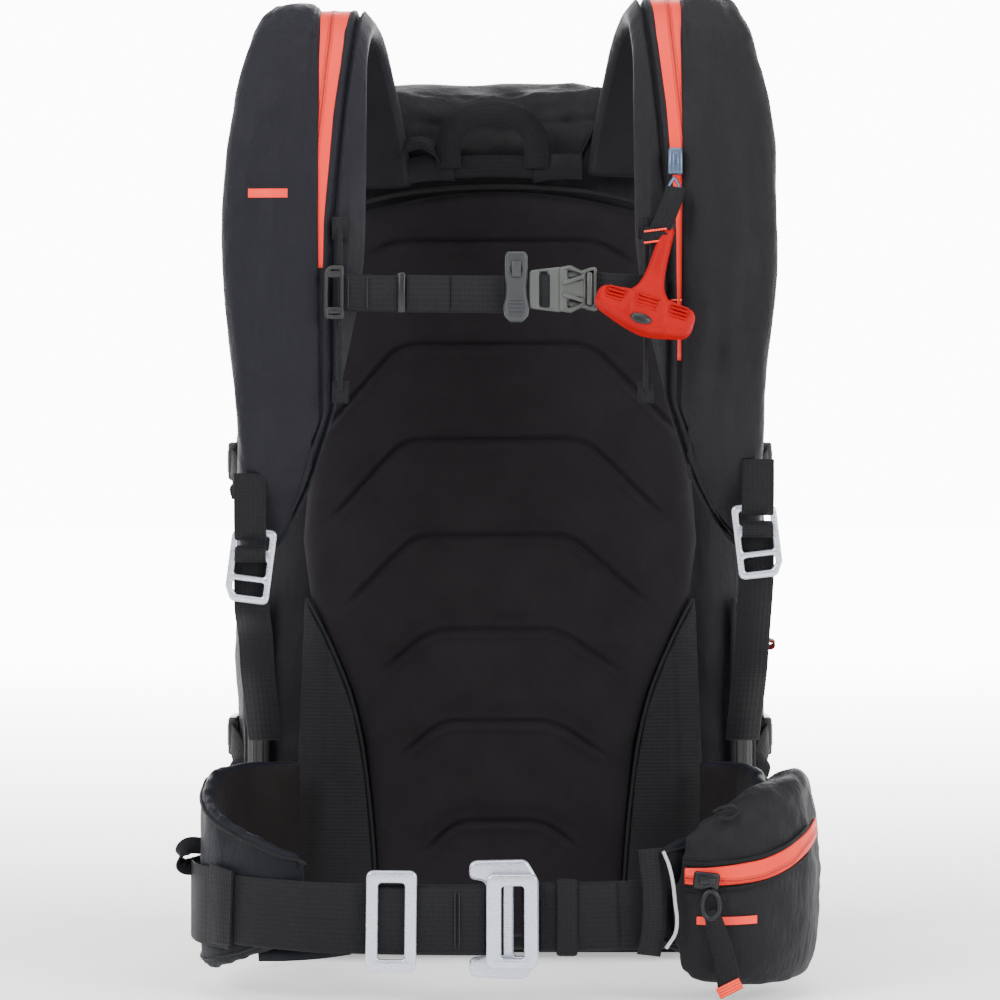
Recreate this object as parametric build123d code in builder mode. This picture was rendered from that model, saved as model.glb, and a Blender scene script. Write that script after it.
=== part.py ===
"""Avalanche airbag backpack, in millimetres.

Frame: +Z up, origin at the middle of the flat base. The harness faces -Y: the wearer stands at -Y with their
back to the pack, so +X is the wearer's left, and every "left" here is the wearer's.
"""

import os

from build123d import *

# Bag
BAG_HEIGHT = 528
BAG_HALF_WIDTH = 158
BAG_TOP_HALF_WIDTH = 128
BAG_FRONT = -83
BAG_REAR = 97
BAG_CORNER = 40
FABRIC = 2.5
BASE_THICK = 2.7
CLEAR = 0.3

# Back panel
PANEL_FRONT = -95
PANEL_TOP = 461
PANEL_SHOULDER_Z = 427
PANEL_HALF_TOP = 84
PANEL_HALF_BOTTOM = 74
PANEL_FOOT_Z = 14
GROOVE_WIDTH = 5
GROOVE_DEPTH = 3

# Shoulder straps
STRAP_THICK = 20
STRAP_LIFT = {"left": 7, "right": 0}
STRAP_RADII = [34, 42, 56, 100, 100, 80]
ZIP_THICK = 1.2
ZIP_X = 94

# Webbing
WEB_THICK = 1.2
CHEST_WEB = 20

# Chest strap
CHEST_Z = 391
CHEST_WEB_Y = -230.2
CHEST_TAIL_Y = -232.1
CHEST_BUCKLE_Y = -236.6
RAIL_Y = -233.6
RAIL_X = {"left": 81, "right": -88.7}
RAIL_Z = (337, 426)
SLIDER_HEIGHT = 26
PLUG_X = 16.6
SOCKET_X = 31.6
SOCKET_END_X = 53.8
BUCKLE_HALF_HEIGHT = 14

# Trigger handle
TRIGGER_CENTRE = (80, -253.5, 382)
TRIGGER_PULL = Vector(0.27, 0.33, 0.905).normalized()
TRIGGER_HALF_LENGTH = 28
TRIGGER_HEIGHT = 15
TRIGGER_DEPTH = 15
STEM_TOP = 50

# Hip belt
HINGE_X = 120
HINGE_Y = -104
WING_THICK = 12
BELT_Z = 50
BELT_FRONT_WEB_Y = -266
BELT_REAR_WEB_Y = -258.2
PLATE_THICK = 2.5

# Pressure system
CYLINDER_X = -96
CYLINDER_Y = 12
CYLINDER_RADIUS = 36
CYLINDER_FOOT = 45
CYLINDER_SHOULDER = 235
NECK_TOP = 253
VALVE_TOP = 318
FLOOR_Z = 392

SIDES = (("left", 1), ("right", -1))
os.makedirs("parts", exist_ok=True)


def write(part, name):
    """Labels a finished piece and writes it as one STEP file."""
    part.label = name
    export_step(part, f"parts/{name}.step")


def outline(*points, radius):
    """A closed polygon with rounded corners."""
    with BuildSketch() as face:
        with BuildLine():
            Polyline(*points, close=True)
        make_face()
        fillet(face.vertices(), radius)
    return face.sketch


def ribbon(points, radius, thickness):
    """A band of even thickness along a line of points with rounded corners."""
    with BuildSketch() as band:
        with BuildLine() as centreline:
            if len(points) > 2:
                FilletPolyline(*points, radius=radius)
            else:
                Line(*points)
        trace(centreline.line, line_width=thickness)
    return band.sketch


def plate(plane, size, corner, thickness, slots=(), edge=0.6):
    """A flat moulding with rounded corners and slots (x, y, width, height), centred on plane."""
    with BuildPart() as moulding:
        with BuildSketch(plane):
            RectangleRounded(*size, corner)
            for x, y, width, height in slots:
                with Locations((x, y)):
                    RectangleRounded(width, height, min(width, height) * 0.3, mode=Mode.SUBTRACT)
        extrude(amount=thickness / 2, both=True)
        if edge:
            rims = moulding.faces().filter_by(plane)
            fillet(rims.edges(), edge)
    return moulding.part


def keeper(centre, size, gap):
    """A webbing keeper: a flat sleeve of size (x, y, z) with an opening gap (y, z) along X."""
    with BuildPart() as sleeve:
        with Locations(centre):
            Box(*size)
            Box(size[0] + 1, *gap, mode=Mode.SUBTRACT)
    return sleeve.part


def facing(x, y, z):
    """A plane that faces the wearer, at a point."""
    return Plane(origin=(x, y, z), x_dir=(1, 0, 0), z_dir=(0, -1, 0))


# ---------------------------------------------------------------- bag, frame and back panel


def bag_form(inset):
    """The bag's form drawn in by inset: its plan, trimmed by a slightly larger side view and front view."""
    front, rear, foot, head = BAG_FRONT + inset, BAG_REAR - inset, 3 + inset, BAG_HEIGHT - inset
    half, top_half = BAG_HALF_WIDTH - inset, BAG_TOP_HALF_WIDTH - inset
    side_view = outline(
        (front - 1.5, foot), (74, foot), (rear + 6, 77), (rear + 6, 236), (rear - 39, head),
        (front - 1.5, head), radius=18 - inset,
    )
    front_view = outline(
        (12 - half, foot), (half - 12, foot), (half + 8, 100), (half + 8, 296), (top_half, head),
        (-top_half, head), (-half - 8, 296), (-half - 8, 100), radius=22 - inset,
    )
    with BuildPart() as form:
        with BuildSketch(Plane.XY):
            with Locations((0, (front + rear) / 2)):
                RectangleRounded(2 * half, rear - front, BAG_CORNER - inset)
        extrude(amount=BAG_HEIGHT + 10)
        with BuildSketch(Plane.YZ):
            add(side_view)
        extrude(amount=half + 20, both=True, mode=Mode.INTERSECT)
        with BuildSketch(Plane.XZ):
            add(front_view)
        extrude(amount=rear + 20, both=True, mode=Mode.INTERSECT)
    return form.part


with BuildPart() as bag_shell:
    add(bag_form(0))
    add(bag_form(FABRIC), mode=Mode.SUBTRACT)
write(bag_shell.part, "bag_shell")

with BuildPart() as base_panel:
    with BuildSketch():
        RectangleRounded(266, 124, 30)
    extrude(amount=BASE_THICK)
write(base_panel.part, "base_panel")

# The panel is widest at the ribs and narrows to the waist, where the two mesh wedges take over.
with BuildPart() as back_panel:
    with BuildSketch(facing(0, BAG_FRONT - CLEAR, 0)):
        with BuildLine():
            edge = Spline(
                (PANEL_HALF_BOTTOM, PANEL_FOOT_Z), (82, 130), (102, 190), (118, 250), (106, 340),
                (PANEL_HALF_TOP, PANEL_SHOULDER_Z),
            )
            mirror(edge, about=Plane.YZ)
            ThreePointArc(
                (PANEL_HALF_TOP, PANEL_SHOULDER_Z), (0, PANEL_TOP), (-PANEL_HALF_TOP, PANEL_SHOULDER_Z)
            )
            Line((-PANEL_HALF_BOTTOM, PANEL_FOOT_Z), (PANEL_HALF_BOTTOM, PANEL_FOOT_Z))
        make_face()
    extrude(amount=BAG_FRONT - PANEL_FRONT - CLEAR)
    with BuildSketch(facing(0, PANEL_FRONT, 0)):
        for flat_z, half_flat, foot_z, half_foot in (
            (431, 62, 414, 76), (370, 55, 318, 100), (313, 54, 262, 104), (255, 46, 209, 96),
            (198, 39, 168, 76), (143, 34, 118, 66), (84, 27, 58, 52),
        ):
            arch = [(-half_foot, foot_z), (-half_flat, flat_z), (half_flat, flat_z), (half_foot, foot_z)]
            add(ribbon(arch, 10, GROOVE_WIDTH))
    extrude(amount=-GROOVE_DEPTH, mode=Mode.SUBTRACT)
write(back_panel.part, "back_panel")

with BuildPart() as waist_wedges:
    for _, sign in SIDES:
        with BuildSketch(facing(0, BAG_FRONT - CLEAR, 0)):
            with BuildLine():
                Spline((sign * 77, 16), (sign * 85, 128), (sign * 106, 190), (sign * 120, 222))
                Polyline((sign * 120, 222), (sign * 126, 222), (sign * 126, 16), (sign * 77, 16))
            make_face()
        extrude(amount=3)
write(waist_wedges.part, "waist_wedges")

write(plate(facing(0, -79.2, 260), (210, 440), 24, 1.5, edge=0), "frame_sheet")

with BuildPart() as frame_stays:
    for x in (-62, 62):
        add(plate(facing(x, -76.8, 255), (20, 410), 6, 2.6))
write(frame_stays.part, "frame_stays")

# ---------------------------------------------------------------- airbag and pressure system

# The trigger's pull cable leaves the valve, passes the floor of the airbag's compartment and the top of the
# bag, and runs down inside the left shoulder strap.
with BuildPart() as trigger_cable:
    with BuildLine() as route:
        FilletPolyline(
            (-52.7, 12, 285), (30, 12, 285), (74, -60, 340), (74, -60, 430), (96, -66, 505), (96, -97, 532),
            (96, -140, 562), (96, -200, 534), (96, -215, 476), radius=[20, 20, 20, 14, 14, 40, 50],
        )
    with BuildSketch(Plane(origin=route.line @ 0, z_dir=route.line % 0)):
        Circle(2.5)
    sweep()
write(trigger_cable.part, "trigger_cable")

with BuildPart() as compartment_floor:
    with BuildSketch(Plane.XY.offset(FLOOR_Z)):
        RectangleRounded(252, 130, 30)
        with Locations((-60, CYLINDER_Y)):
            Circle(12, mode=Mode.SUBTRACT)
        with Locations((74, -60)):
            Circle(7, mode=Mode.SUBTRACT)
    extrude(amount=1.5)
write(compartment_floor.part, "compartment_floor")

with BuildPart() as airbag:
    with BuildSketch(Plane.XY.offset(FLOOR_Z + 6)):
        with Locations((-8, 10)):
            RectangleRounded(180, 84, 24)
    extrude(amount=94)
    fillet(airbag.faces().sort_by(Axis.Z)[-1].edges(), 14)
    for z in (420, 444, 468):
        with BuildSketch(Plane.XY.offset(z)):
            with Locations((-8, 10)):
                RectangleRounded(190, 94, 26)
                RectangleRounded(172, 76, 20, mode=Mode.SUBTRACT)
        extrude(amount=2, mode=Mode.SUBTRACT)
write(airbag.part, "airbag")

cylinder_plane = Plane(origin=(CYLINDER_X, CYLINDER_Y, 0), x_dir=(1, 0, 0), z_dir=(0, -1, 0))
with BuildPart() as air_cylinder:
    with BuildSketch(cylinder_plane):
        with BuildLine():
            foot = Line((0, CYLINDER_FOOT), (CYLINDER_RADIUS - 12, CYLINDER_FOOT))
            heel = RadiusArc(foot @ 1, (CYLINDER_RADIUS, CYLINDER_FOOT + 12), -12)
            wall = Line(heel @ 1, (CYLINDER_RADIUS, CYLINDER_SHOULDER - 30))
            shoulder = TangentArc(wall @ 1, (11, CYLINDER_SHOULDER), tangent=wall % 1)
            Polyline(shoulder @ 1, (11, NECK_TOP), (0, NECK_TOP), foot @ 0)
        make_face()
    revolve(axis=Axis((CYLINDER_X, CYLINDER_Y, 0), (0, 0, 1)))
write(air_cylinder.part, "air_cylinder")

with BuildPart() as valve_head:
    with BuildSketch(Plane.XY.offset(NECK_TOP)):
        with Locations((CYLINDER_X, CYLINDER_Y)):
            Circle(19)
    extrude(amount=VALVE_TOP - NECK_TOP)
    with BuildSketch(Plane.XY.offset(272)):
        with Locations((CYLINDER_X + 26, CYLINDER_Y)):
            RectangleRounded(34, 22, 4)
    extrude(amount=26)
    with BuildSketch(facing(CYLINDER_X, CYLINDER_Y, 295)) as gauge_neck:
        Circle(4)
    extrude(amount=28)
    with BuildSketch(facing(CYLINDER_X, CYLINDER_Y - 26, 295)) as gauge:
        Circle(13)
    extrude(amount=9)
write(valve_head.part, "valve_head")

with BuildPart() as inflation_hose:
    with BuildLine(Plane.XZ.offset(-CYLINDER_Y)) as hose_route:
        FilletPolyline((CYLINDER_X, VALVE_TOP + 0.2), (CYLINDER_X, 352), (-60, 366), (-60, 397), radius=13)
    with BuildSketch(Plane(origin=hose_route.line @ 0, z_dir=hose_route.line % 0)):
        Circle(8)
        Circle(5.5, mode=Mode.SUBTRACT)
    sweep()
write(inflation_hose.part, "inflation_hose")

# ---------------------------------------------------------------- pockets, zips and straps on the bag

POCKET_DEPTH = 24
POCKET_BACK = BAG_REAR + CLEAR + POCKET_DEPTH

with BuildPart() as tool_pocket:
    with BuildSketch(facing(0, BAG_REAR + CLEAR, 0)):
        add(outline((-94, 76), (94, 76), (90, 262), (-90, 262), radius=26))
    extrude(amount=-POCKET_DEPTH)
    fillet(tool_pocket.faces().sort_by(Axis.Y)[-1].edges(), 12)
write(tool_pocket.part, "tool_pocket")

with BuildPart() as tool_pocket_zip:
    with BuildSketch(facing(44, POCKET_BACK + CLEAR, 168)):
        SlotOverall(140, 12, rotation=90)
    extrude(amount=-ZIP_THICK)
write(tool_pocket_zip.part, "tool_pocket_zip")

with BuildPart() as airbag_burst_zip:
    with BuildSketch(facing(0, BAG_FRONT - CLEAR, 0)):
        with BuildLine() as burst_line:
            ThreePointArc((-48, 496), (0, 502), (48, 496))
        trace(burst_line.line, line_width=6)
    extrude(amount=ZIP_THICK)
write(airbag_burst_zip.part, "airbag_burst_zip")

CORNER_X = BAG_HALF_WIDTH - BAG_CORNER
CORNER_Y = BAG_FRONT + BAG_CORNER
with BuildPart() as side_zips:
    for _, sign in SIDES:
        with BuildSketch(Plane.XY.offset(66)):
            with BuildLine() as corner_line:
                CenterArc(
                    (sign * CORNER_X, CORNER_Y), BAG_CORNER + CLEAR + ZIP_THICK / 2, 270 + sign * 46 - 12, 24
                )
            trace(corner_line.line, line_width=ZIP_THICK)
        extrude(amount=146)
write(side_zips.part, "side_zips")

for side, sign in SIDES:
    outward = Vector(sign, 0, 0).rotate(Axis.Z, -sign * 44)
    reach = BAG_CORNER + CLEAR + ZIP_THICK + CLEAR
    slider_plane = Plane(
        origin=(sign * CORNER_X + outward.X * reach, CORNER_Y + outward.Y * reach, 172),
        x_dir=outward.cross(Vector(0, 0, -1)), z_dir=outward,
    )
    with BuildPart() as side_zip_slider:
        with BuildSketch(slider_plane):
            RectangleRounded(8, 11, 2.5)
        extrude(amount=3.2)
        with BuildSketch(slider_plane.offset(3.2)):
            with Locations((0, -9)):
                RectangleRounded(5, 24, 2)
            with Locations((0, -16)):
                RectangleRounded(2.4, 7, 1, mode=Mode.SUBTRACT)
        extrude(amount=1.6)
    write(side_zip_slider.part, f"side_zip_slider_{side}")

with BuildPart() as tool_zip_slider:
    with BuildSketch(facing(44, POCKET_BACK + CLEAR + ZIP_THICK + CLEAR, 222)):
        RectangleRounded(8, 11, 2.5)
    extrude(amount=-3.2)
    with BuildSketch(facing(44, POCKET_BACK + CLEAR + ZIP_THICK + CLEAR + 3.2, 213)):
        RectangleRounded(5, 24, 2)
        with Locations((0, -7)):
            RectangleRounded(2.4, 7, 1, mode=Mode.SUBTRACT)
    extrude(amount=-1.6)
write(tool_zip_slider.part, "tool_pocket_slider")

with BuildPart() as compression_straps:
    for z in (130, 300):
        with BuildSketch(Plane.XY.offset(z)):
            for _, sign in SIDES:
                outside = BAG_HALF_WIDTH + CLEAR + WEB_THICK / 2
                behind = BAG_REAR + CLEAR + WEB_THICK / 2
                line = [(sign * outside, -34), (sign * outside, behind), (sign * 104, behind)]
                add(ribbon(line, BAG_CORNER + CLEAR + WEB_THICK / 2, WEB_THICK))
        extrude(amount=9.5, both=True)
    add(bag_form(-CLEAR), mode=Mode.SUBTRACT)
write(compression_straps.part, "compression_straps")

with BuildPart() as compression_buckles:
    for z in (130, 300):
        for _, sign in SIDES:
            at_side = Plane(
                origin=(sign * (BAG_HALF_WIDTH + 2 * CLEAR + WEB_THICK + 3), -8, z), x_dir=(0, 1, 0),
                z_dir=(sign, 0, 0),
            )
            add(plate(at_side, (38, 24), 5, 6, [(-13, 0, 5, 17), (13, 0, 5, 17)], edge=1))
write(compression_buckles.part, "compression_buckles")

with BuildPart() as axe_loops:
    for x in (-52, 52):
        with BuildSketch(Plane.YZ.offset(x)):
            add(ribbon([(88, 66), (116, 44), (116, 60), (99.2, 70)], 4, WEB_THICK))
        extrude(amount=9, both=True)
    add(bag_form(-CLEAR), mode=Mode.SUBTRACT)
write(axe_loops.part, "axe_loops")

# ---------------------------------------------------------------- haul loop

HAUL_Y = -95
with BuildPart() as haul_loop:
    with BuildSketch(facing(0, HAUL_Y, 0)):
        add(ribbon([(-31, 472), (-31, 491), (-16, 504), (9, 504), (22, 491), (22, 472)], 10, 17))
    extrude(amount=1.4, both=True)
write(haul_loop.part, "haul_loop")

with BuildPart() as haul_anchor:
    with BuildSketch(facing(-4, BAG_FRONT - CLEAR, 475)):
        RectangleRounded(84, 14, 2)
    extrude(amount=9.8)
write(haul_anchor.part, "haul_loop_anchor")

# ---------------------------------------------------------------- shoulder straps


# The strap's run from the top of the bag to its tail, seen from the side, and its two edges seen from the front
STRAP_SIDE = [
    (-95, 464), (-97, 528), (-140, 558), (-200, 530), (-219, 440), (-219, 352), (-204, 300), (-178, 252),
]
STRAP_OUTER = [(127, 566), (139, 545), (152, 500), (154, 440), (149, 370), (147, 300), (145, 238)]
STRAP_INNER = [(62, 566), (72, 520), (76, 470), (77, 430), (80, 391), (88, 350), (112, 281), (122, 238)]


def strap_band(lift, thickness):
    """The strap's side view, a band about its centreline, drawn across the whole pack."""
    with BuildPart() as band:
        with BuildSketch(Plane.YZ):
            add(ribbon([(y, z + lift) for y, z in STRAP_SIDE], STRAP_RADII, thickness))
        extrude(amount=BAG_HALF_WIDTH + 20, both=True)
    return band.part


def strap_front(sign, lift):
    """The strap's outline seen from the front."""
    with BuildSketch() as front:
        with BuildLine():
            outer = Spline(*[(sign * x, z + lift) for x, z in STRAP_OUTER])
            inner = Spline(*[(sign * x, z + lift) for x, z in STRAP_INNER])
            Line(outer @ 0, inner @ 0)
            Line(outer @ 1, inner @ 1)
        make_face()
    return front.sketch


for side, sign in SIDES:
    lift = STRAP_LIFT[side]
    with BuildPart() as shoulder_strap:
        with BuildSketch(Plane.XZ):
            add(strap_front(sign, lift))
        extrude(amount=280)
        add(strap_band(lift, STRAP_THICK), mode=Mode.INTERSECT)
    write(shoulder_strap.part, f"shoulder_strap_{side}")
    # The zip lies on the strap's outer face, from the chest over the shoulder.
    with BuildPart() as strap_zip:
        with BuildSketch(facing(sign * ZIP_X, -100, 0)):
            with BuildLine():
                Polyline(
                    (sign * 6, 402 - lift), (sign * 8, 460), (sign * 8, 575), (-sign * 8, 575), (-sign * 8, 460),
                    (sign * 2, 402 - lift), close=True,
                )
            make_face()
        extrude(amount=160)
        add(strap_band(lift, STRAP_THICK + 2 * (CLEAR + ZIP_THICK)), mode=Mode.INTERSECT)
        add(strap_band(lift, STRAP_THICK + 2 * CLEAR), mode=Mode.SUBTRACT)
    outer_band = strap_zip.solids().sort_by(lambda s: s.center().Z - s.center().Y)[-1]
    write(Part(outer_band.wrapped), f"strap_zip_{side}")

# The slider sits where the strap leans back towards the shoulder, and runs up that straight stretch.
SLIDER_LEAN = Vector(0, 19, 90).normalized()
slider_front = Plane(origin=(ZIP_X, -226.6, 462), x_dir=(1, 0, 0), z_dir=(0, -SLIDER_LEAN.Z, SLIDER_LEAN.Y))
with BuildPart() as strap_slider:
    with BuildSketch(slider_front.offset(1.6)):
        RectangleRounded(9, 14, 3)
    extrude(amount=3.5)
write(strap_slider.part, "strap_zip_slider")

with BuildPart() as strap_pull:
    with BuildSketch(facing(91.5, -240.4, 446)):
        with Locations(Location((0, 0, 0), 12)):
            RectangleRounded(12, 34, 2)
    extrude(amount=1.6)
write(strap_pull.part, "strap_zip_pull")

# ---------------------------------------------------------------- load webbing and ladder buckles

LADDER = {"left": (145, -203, 253), "right": (-140.5, -203, 239)}
for side, (x, y, z) in LADDER.items():
    ladder = plate(facing(x, y, z), (26, 43), 5, 3, [(0, 14, 20, 5), (0, 0.5, 20, 8), (0, -13, 20, 7)], edge=1)
    write(ladder, f"ladder_buckle_{side}")

with BuildPart() as load_webbing:
    for x, y, z in LADDER.values():
        with BuildSketch(Plane.YZ.offset(x)):
            lower = [(y + 2.4, z + 8), (y + 2.4, z - 10), (-150, 176), (-93, 134), (-89, 110)]
            add(ribbon(lower, 30, WEB_THICK))
            add(ribbon([(y - 6.2, z + 40), (y - 3.2, z + 14.5)], 0, WEB_THICK))
        extrude(amount=10, both=True)
write(load_webbing.part, "load_webbing")

# ---------------------------------------------------------------- chest strap

RAIL_STANDOFF = -RAIL_Y + 1.5 - 229.3
with BuildPart() as chest_rails:
    foot_z, head_z = RAIL_Z
    for x in RAIL_X.values():
        with BuildSketch(Plane.XY.offset(foot_z)):
            with Locations((x, RAIL_Y)):
                Circle(1.5)
        extrude(amount=head_z - foot_z)
        for z in (foot_z - 2, head_z + 2):
            with Locations((x, RAIL_Y - 1.5 + RAIL_STANDOFF / 2, z)):
                Box(5, RAIL_STANDOFF, 4)
write(chest_rails.part, "chest_rails")

for side, sign in SIDES:
    x = RAIL_X[side]
    with BuildPart() as chest_slider:
        with BuildSketch(Plane.XY.offset(CHEST_Z)):
            with Locations((x, RAIL_Y)):
                Circle(3.6)
            with Locations((x - sign * 6, RAIL_Y)):
                RectangleRounded(9, 5, 1.5)
            with Locations((x, RAIL_Y)):
                Circle(1.8, mode=Mode.SUBTRACT)
        extrude(amount=SLIDER_HEIGHT / 2, both=True)
        with BuildSketch(facing(x - sign * 6.6, RAIL_Y, CHEST_Z)):
            RectangleRounded(3.6, CHEST_WEB + 1, 1)
        extrude(amount=10, both=True, mode=Mode.SUBTRACT)
    write(chest_slider.part, f"chest_slider_{side}")


RIGHT_LOOP_X = RAIL_X["right"] + 6.6
LEFT_LOOP_X = RAIL_X["left"] - 6.6
with BuildPart() as chest_webbing_right:
    with BuildSketch(Plane.XY.offset(CHEST_Z)):
        add(
            ribbon(
                [(14, CHEST_WEB_Y), (RIGHT_LOOP_X - 0.6, CHEST_WEB_Y), (RIGHT_LOOP_X - 0.6, -237.4),
                 (RIGHT_LOOP_X + 7, -237.4), (RIGHT_LOOP_X + 14, CHEST_TAIL_Y), (1, CHEST_TAIL_Y)],
                [0.9, 0.9, 2, 2], WEB_THICK,
            )
        )
    extrude(amount=CHEST_WEB / 2, both=True)
write(chest_webbing_right.part, "chest_webbing_right")

write(keeper((-55.4, -231.1, CHEST_Z), (4, 6, 24), (4, 21)), "chest_keeper")

with BuildPart() as chest_whistle:
    add(plate(facing(8.4, -236, 395), (11, 36), 4, 6, [(0, 12, 5, 4)], edge=1.2))
write(chest_whistle.part, "chest_whistle")

# The plug's two prongs sit free inside the socket, and its bar carries the wrapped end of the webbing.
with BuildPart() as chest_plug:
    with BuildSketch(facing(PLUG_X, CHEST_BUCKLE_Y, CHEST_Z + 2)):
        with Locations((7.3, 0)):
            RectangleRounded(14.6, 2 * BUCKLE_HALF_HEIGHT, 2.5)
        with Locations((5.6, 0)):
            Rectangle(6, 21.4, mode=Mode.SUBTRACT)
    extrude(amount=3.4, both=True)
    with BuildSketch(facing(PLUG_X, CHEST_BUCKLE_Y, CHEST_Z + 2)):
        for z in (-8.5, 8.5):
            with Locations((21.5, z)):
                RectangleRounded(14, 3.4, 1.2)
        with Locations((18, 0)):
            RectangleRounded(9, 3.4, 1.2)
    extrude(amount=1.6, both=True)
write(chest_plug.part, "chest_buckle_plug")

with BuildPart() as chest_socket:
    with BuildSketch(facing(SOCKET_X, CHEST_BUCKLE_Y, CHEST_Z + 2)):
        with BuildLine():
            Polyline(
                (0, -14), (9, -10.5), (15, -10.5), (22.2, -13), (22.2, 13), (15, 10.5), (9, 10.5), (0, 14),
                close=True,
            )
        make_face()
    extrude(amount=4.2, both=True)
    fillet(chest_socket.edges().filter_by(Axis.Y), 2)
    with BuildSketch(facing(SOCKET_X, CHEST_BUCKLE_Y, CHEST_Z + 2)):
        with Locations((5.5, 0)):
            Rectangle(18, 21)
    extrude(amount=2.2, both=True, mode=Mode.SUBTRACT)
    with BuildSketch(facing(SOCKET_X, CHEST_BUCKLE_Y, CHEST_Z)):
        with Locations((18.2, 0)):
            Rectangle(2.6, CHEST_WEB - 2)
    extrude(amount=6, both=True, mode=Mode.SUBTRACT)
write(chest_socket.part, "chest_buckle_socket")

with BuildPart() as chest_webbing_left:
    with BuildSketch(Plane.XY.offset(CHEST_Z)):
        add(
            ribbon(
                [(SOCKET_END_X + 10, RAIL_Y - 1), (SOCKET_X + 18.2, RAIL_Y + 3.2), (SOCKET_X + 18.2, -242),
                 (SOCKET_X + 26, -242), (SOCKET_X + 30, RAIL_Y - 3.5), (LEFT_LOOP_X + 0.6, RAIL_Y - 3.5),
                 (LEFT_LOOP_X + 0.6, RAIL_Y + 3.5), (LEFT_LOOP_X - 6, RAIL_Y + 3.5)],
                [1, 1, 1, 1, 1, 1], WEB_THICK,
            )
        )
    extrude(amount=CHEST_WEB / 2 - 1.4, both=True)
write(chest_webbing_left.part, "chest_webbing_left")

# ---------------------------------------------------------------- trigger handle

across = Vector(1, 0, -0.12) - TRIGGER_PULL * Vector(1, 0, -0.12).dot(TRIGGER_PULL)
handle_plane = Plane(origin=TRIGGER_CENTRE, x_dir=across, z_dir=across.cross(TRIGGER_PULL))

with BuildPart() as trigger_handle:
    with BuildSketch(handle_plane):
        RectangleRounded(2 * TRIGGER_HALF_LENGTH, TRIGGER_HEIGHT, 5)
    extrude(amount=TRIGGER_DEPTH / 2, both=True)
    fillet(trigger_handle.faces().filter_by(handle_plane).edges(), 2.5)
    with BuildSketch(handle_plane.offset(TRIGGER_DEPTH / 2)):
        with GridLocations(16.5, 0, 3, 1):
            RectangleRounded(13.5, 7, 2.5)
    extrude(amount=-2, mode=Mode.SUBTRACT)
write(trigger_handle.part, "trigger_handle")

with BuildPart() as trigger_stem:
    with BuildSketch(handle_plane):
        with BuildLine():
            foot_y = TRIGGER_HEIGHT / 2 + 0.1
            Polyline((-6, foot_y), (6, foot_y), (4.4, STEM_TOP), (-4.4, STEM_TOP), close=True)
        make_face()
    extrude(amount=3, both=True)
    fillet(trigger_stem.edges().filter_by(Axis((0, 0, 0), handle_plane.z_dir)), 1.5)
write(trigger_stem.part, "trigger_stem")

with BuildPart() as trigger_button:
    button_plane = Plane(
        origin=handle_plane.from_local_coords(Vector(0, -TRIGGER_HEIGHT / 2 - 0.1, 0)), x_dir=across,
        z_dir=-TRIGGER_PULL,
    )
    with BuildSketch(button_plane):
        Ellipse(13, 5)
    extrude(amount=2.5)
write(trigger_button.part, "trigger_button")

# ---------------------------------------------------------------- hip belt


def wing(sign, path):
    """A padded wing: its plan, round a post on the hinge's axis, and its side view, intersected."""
    with BuildPart() as padding:
        with BuildSketch(Plane.XY):
            add(ribbon([(sign * x, y) for x, y in path], [12, 24, 24, 20], WING_THICK))
            with Locations((sign * HINGE_X, HINGE_Y)):
                Circle(WING_THICK / 2)
        extrude(amount=140)
        with BuildSketch(Plane.YZ):
            add(
                outline(
                    (-90, 9), (-215, 9), (-275, 30), (-275, 78), (-215, 112), (-165, 125), (-90, 127), radius=9
                )
            )
        extrude(amount=BAG_HALF_WIDTH + 40, both=True, mode=Mode.INTERSECT)
    return padding.part


LEFT_WING = [(120, -104), (142, -125), (150, -165), (143, -205), (112, -240), (76, -256)]
RIGHT_WING = [(120, -104), (150, -125), (165, -165), (160, -215), (125, -250), (100, -258)]
write(wing(1, LEFT_WING), "hip_wing_left")
write(wing(-1, RIGHT_WING), "hip_wing_right")

with BuildPart() as wing_cradles:
    for _, sign in SIDES:
        with BuildSketch(Plane.XY.offset(22)):
            with Locations((sign * 112, -93.6)):
                Rectangle(14, 14)
            with Locations((sign * HINGE_X, HINGE_Y)):
                Circle(WING_THICK / 2 + 0.4, mode=Mode.SUBTRACT)
        extrude(amount=92)
write(wing_cradles.part, "wing_cradles")

# The pocket wraps round the outside of the left wing.
POCKET_OUTER = [(96, -264), (134, -264), (170, -236), (180, -190), (173, -142), (158, -120)]
with BuildPart() as hip_pocket:
    with BuildSketch(Plane.XY.offset(9)):
        with BuildLine():
            FilletPolyline(*POCKET_OUTER, radius=[30, 24, 24, 14])
            Polyline(
                (158, -120), (149.8, -123.5), (157.2, -165), (150.2, -207.2), (117.6, -246), (96, -255.6),
                (96, -264),
            )
        make_face()
    extrude(amount=118)
    with BuildSketch(Plane.XZ):
        add(outline((92, 12), (140, 9), (184, 12), (184, 100), (150, 127), (112, 122), (92, 90), radius=8))
    extrude(amount=290, mode=Mode.INTERSECT)
write(hip_pocket.part, "hip_pocket")

with BuildPart() as hip_zip:
    with BuildSketch(Plane.XY):
        add(ribbon([(100, -265.2), (134.4, -265.2), (171.1, -236.6), (181.2, -190)], [31, 25], 1.2))
    extrude(amount=110)
    with BuildSketch(Plane.XZ):
        with BuildLine():
            Polyline((98, 62), (145, 65), (172, 76), (184, 88), (184, 100), (170, 88), (143, 77), (98, 74), close=True)
        make_face()
    extrude(amount=290, mode=Mode.INTERSECT)
write(hip_zip.part, "hip_pocket_zip")

ZIP_FACE_Y = -265.8 - CLEAR
with BuildPart() as hip_slider:
    with BuildSketch(facing(112, ZIP_FACE_Y, 68)):
        RectangleRounded(11, 9, 3)
    extrude(amount=3)
write(hip_slider.part, "hip_pocket_slider")

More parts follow.
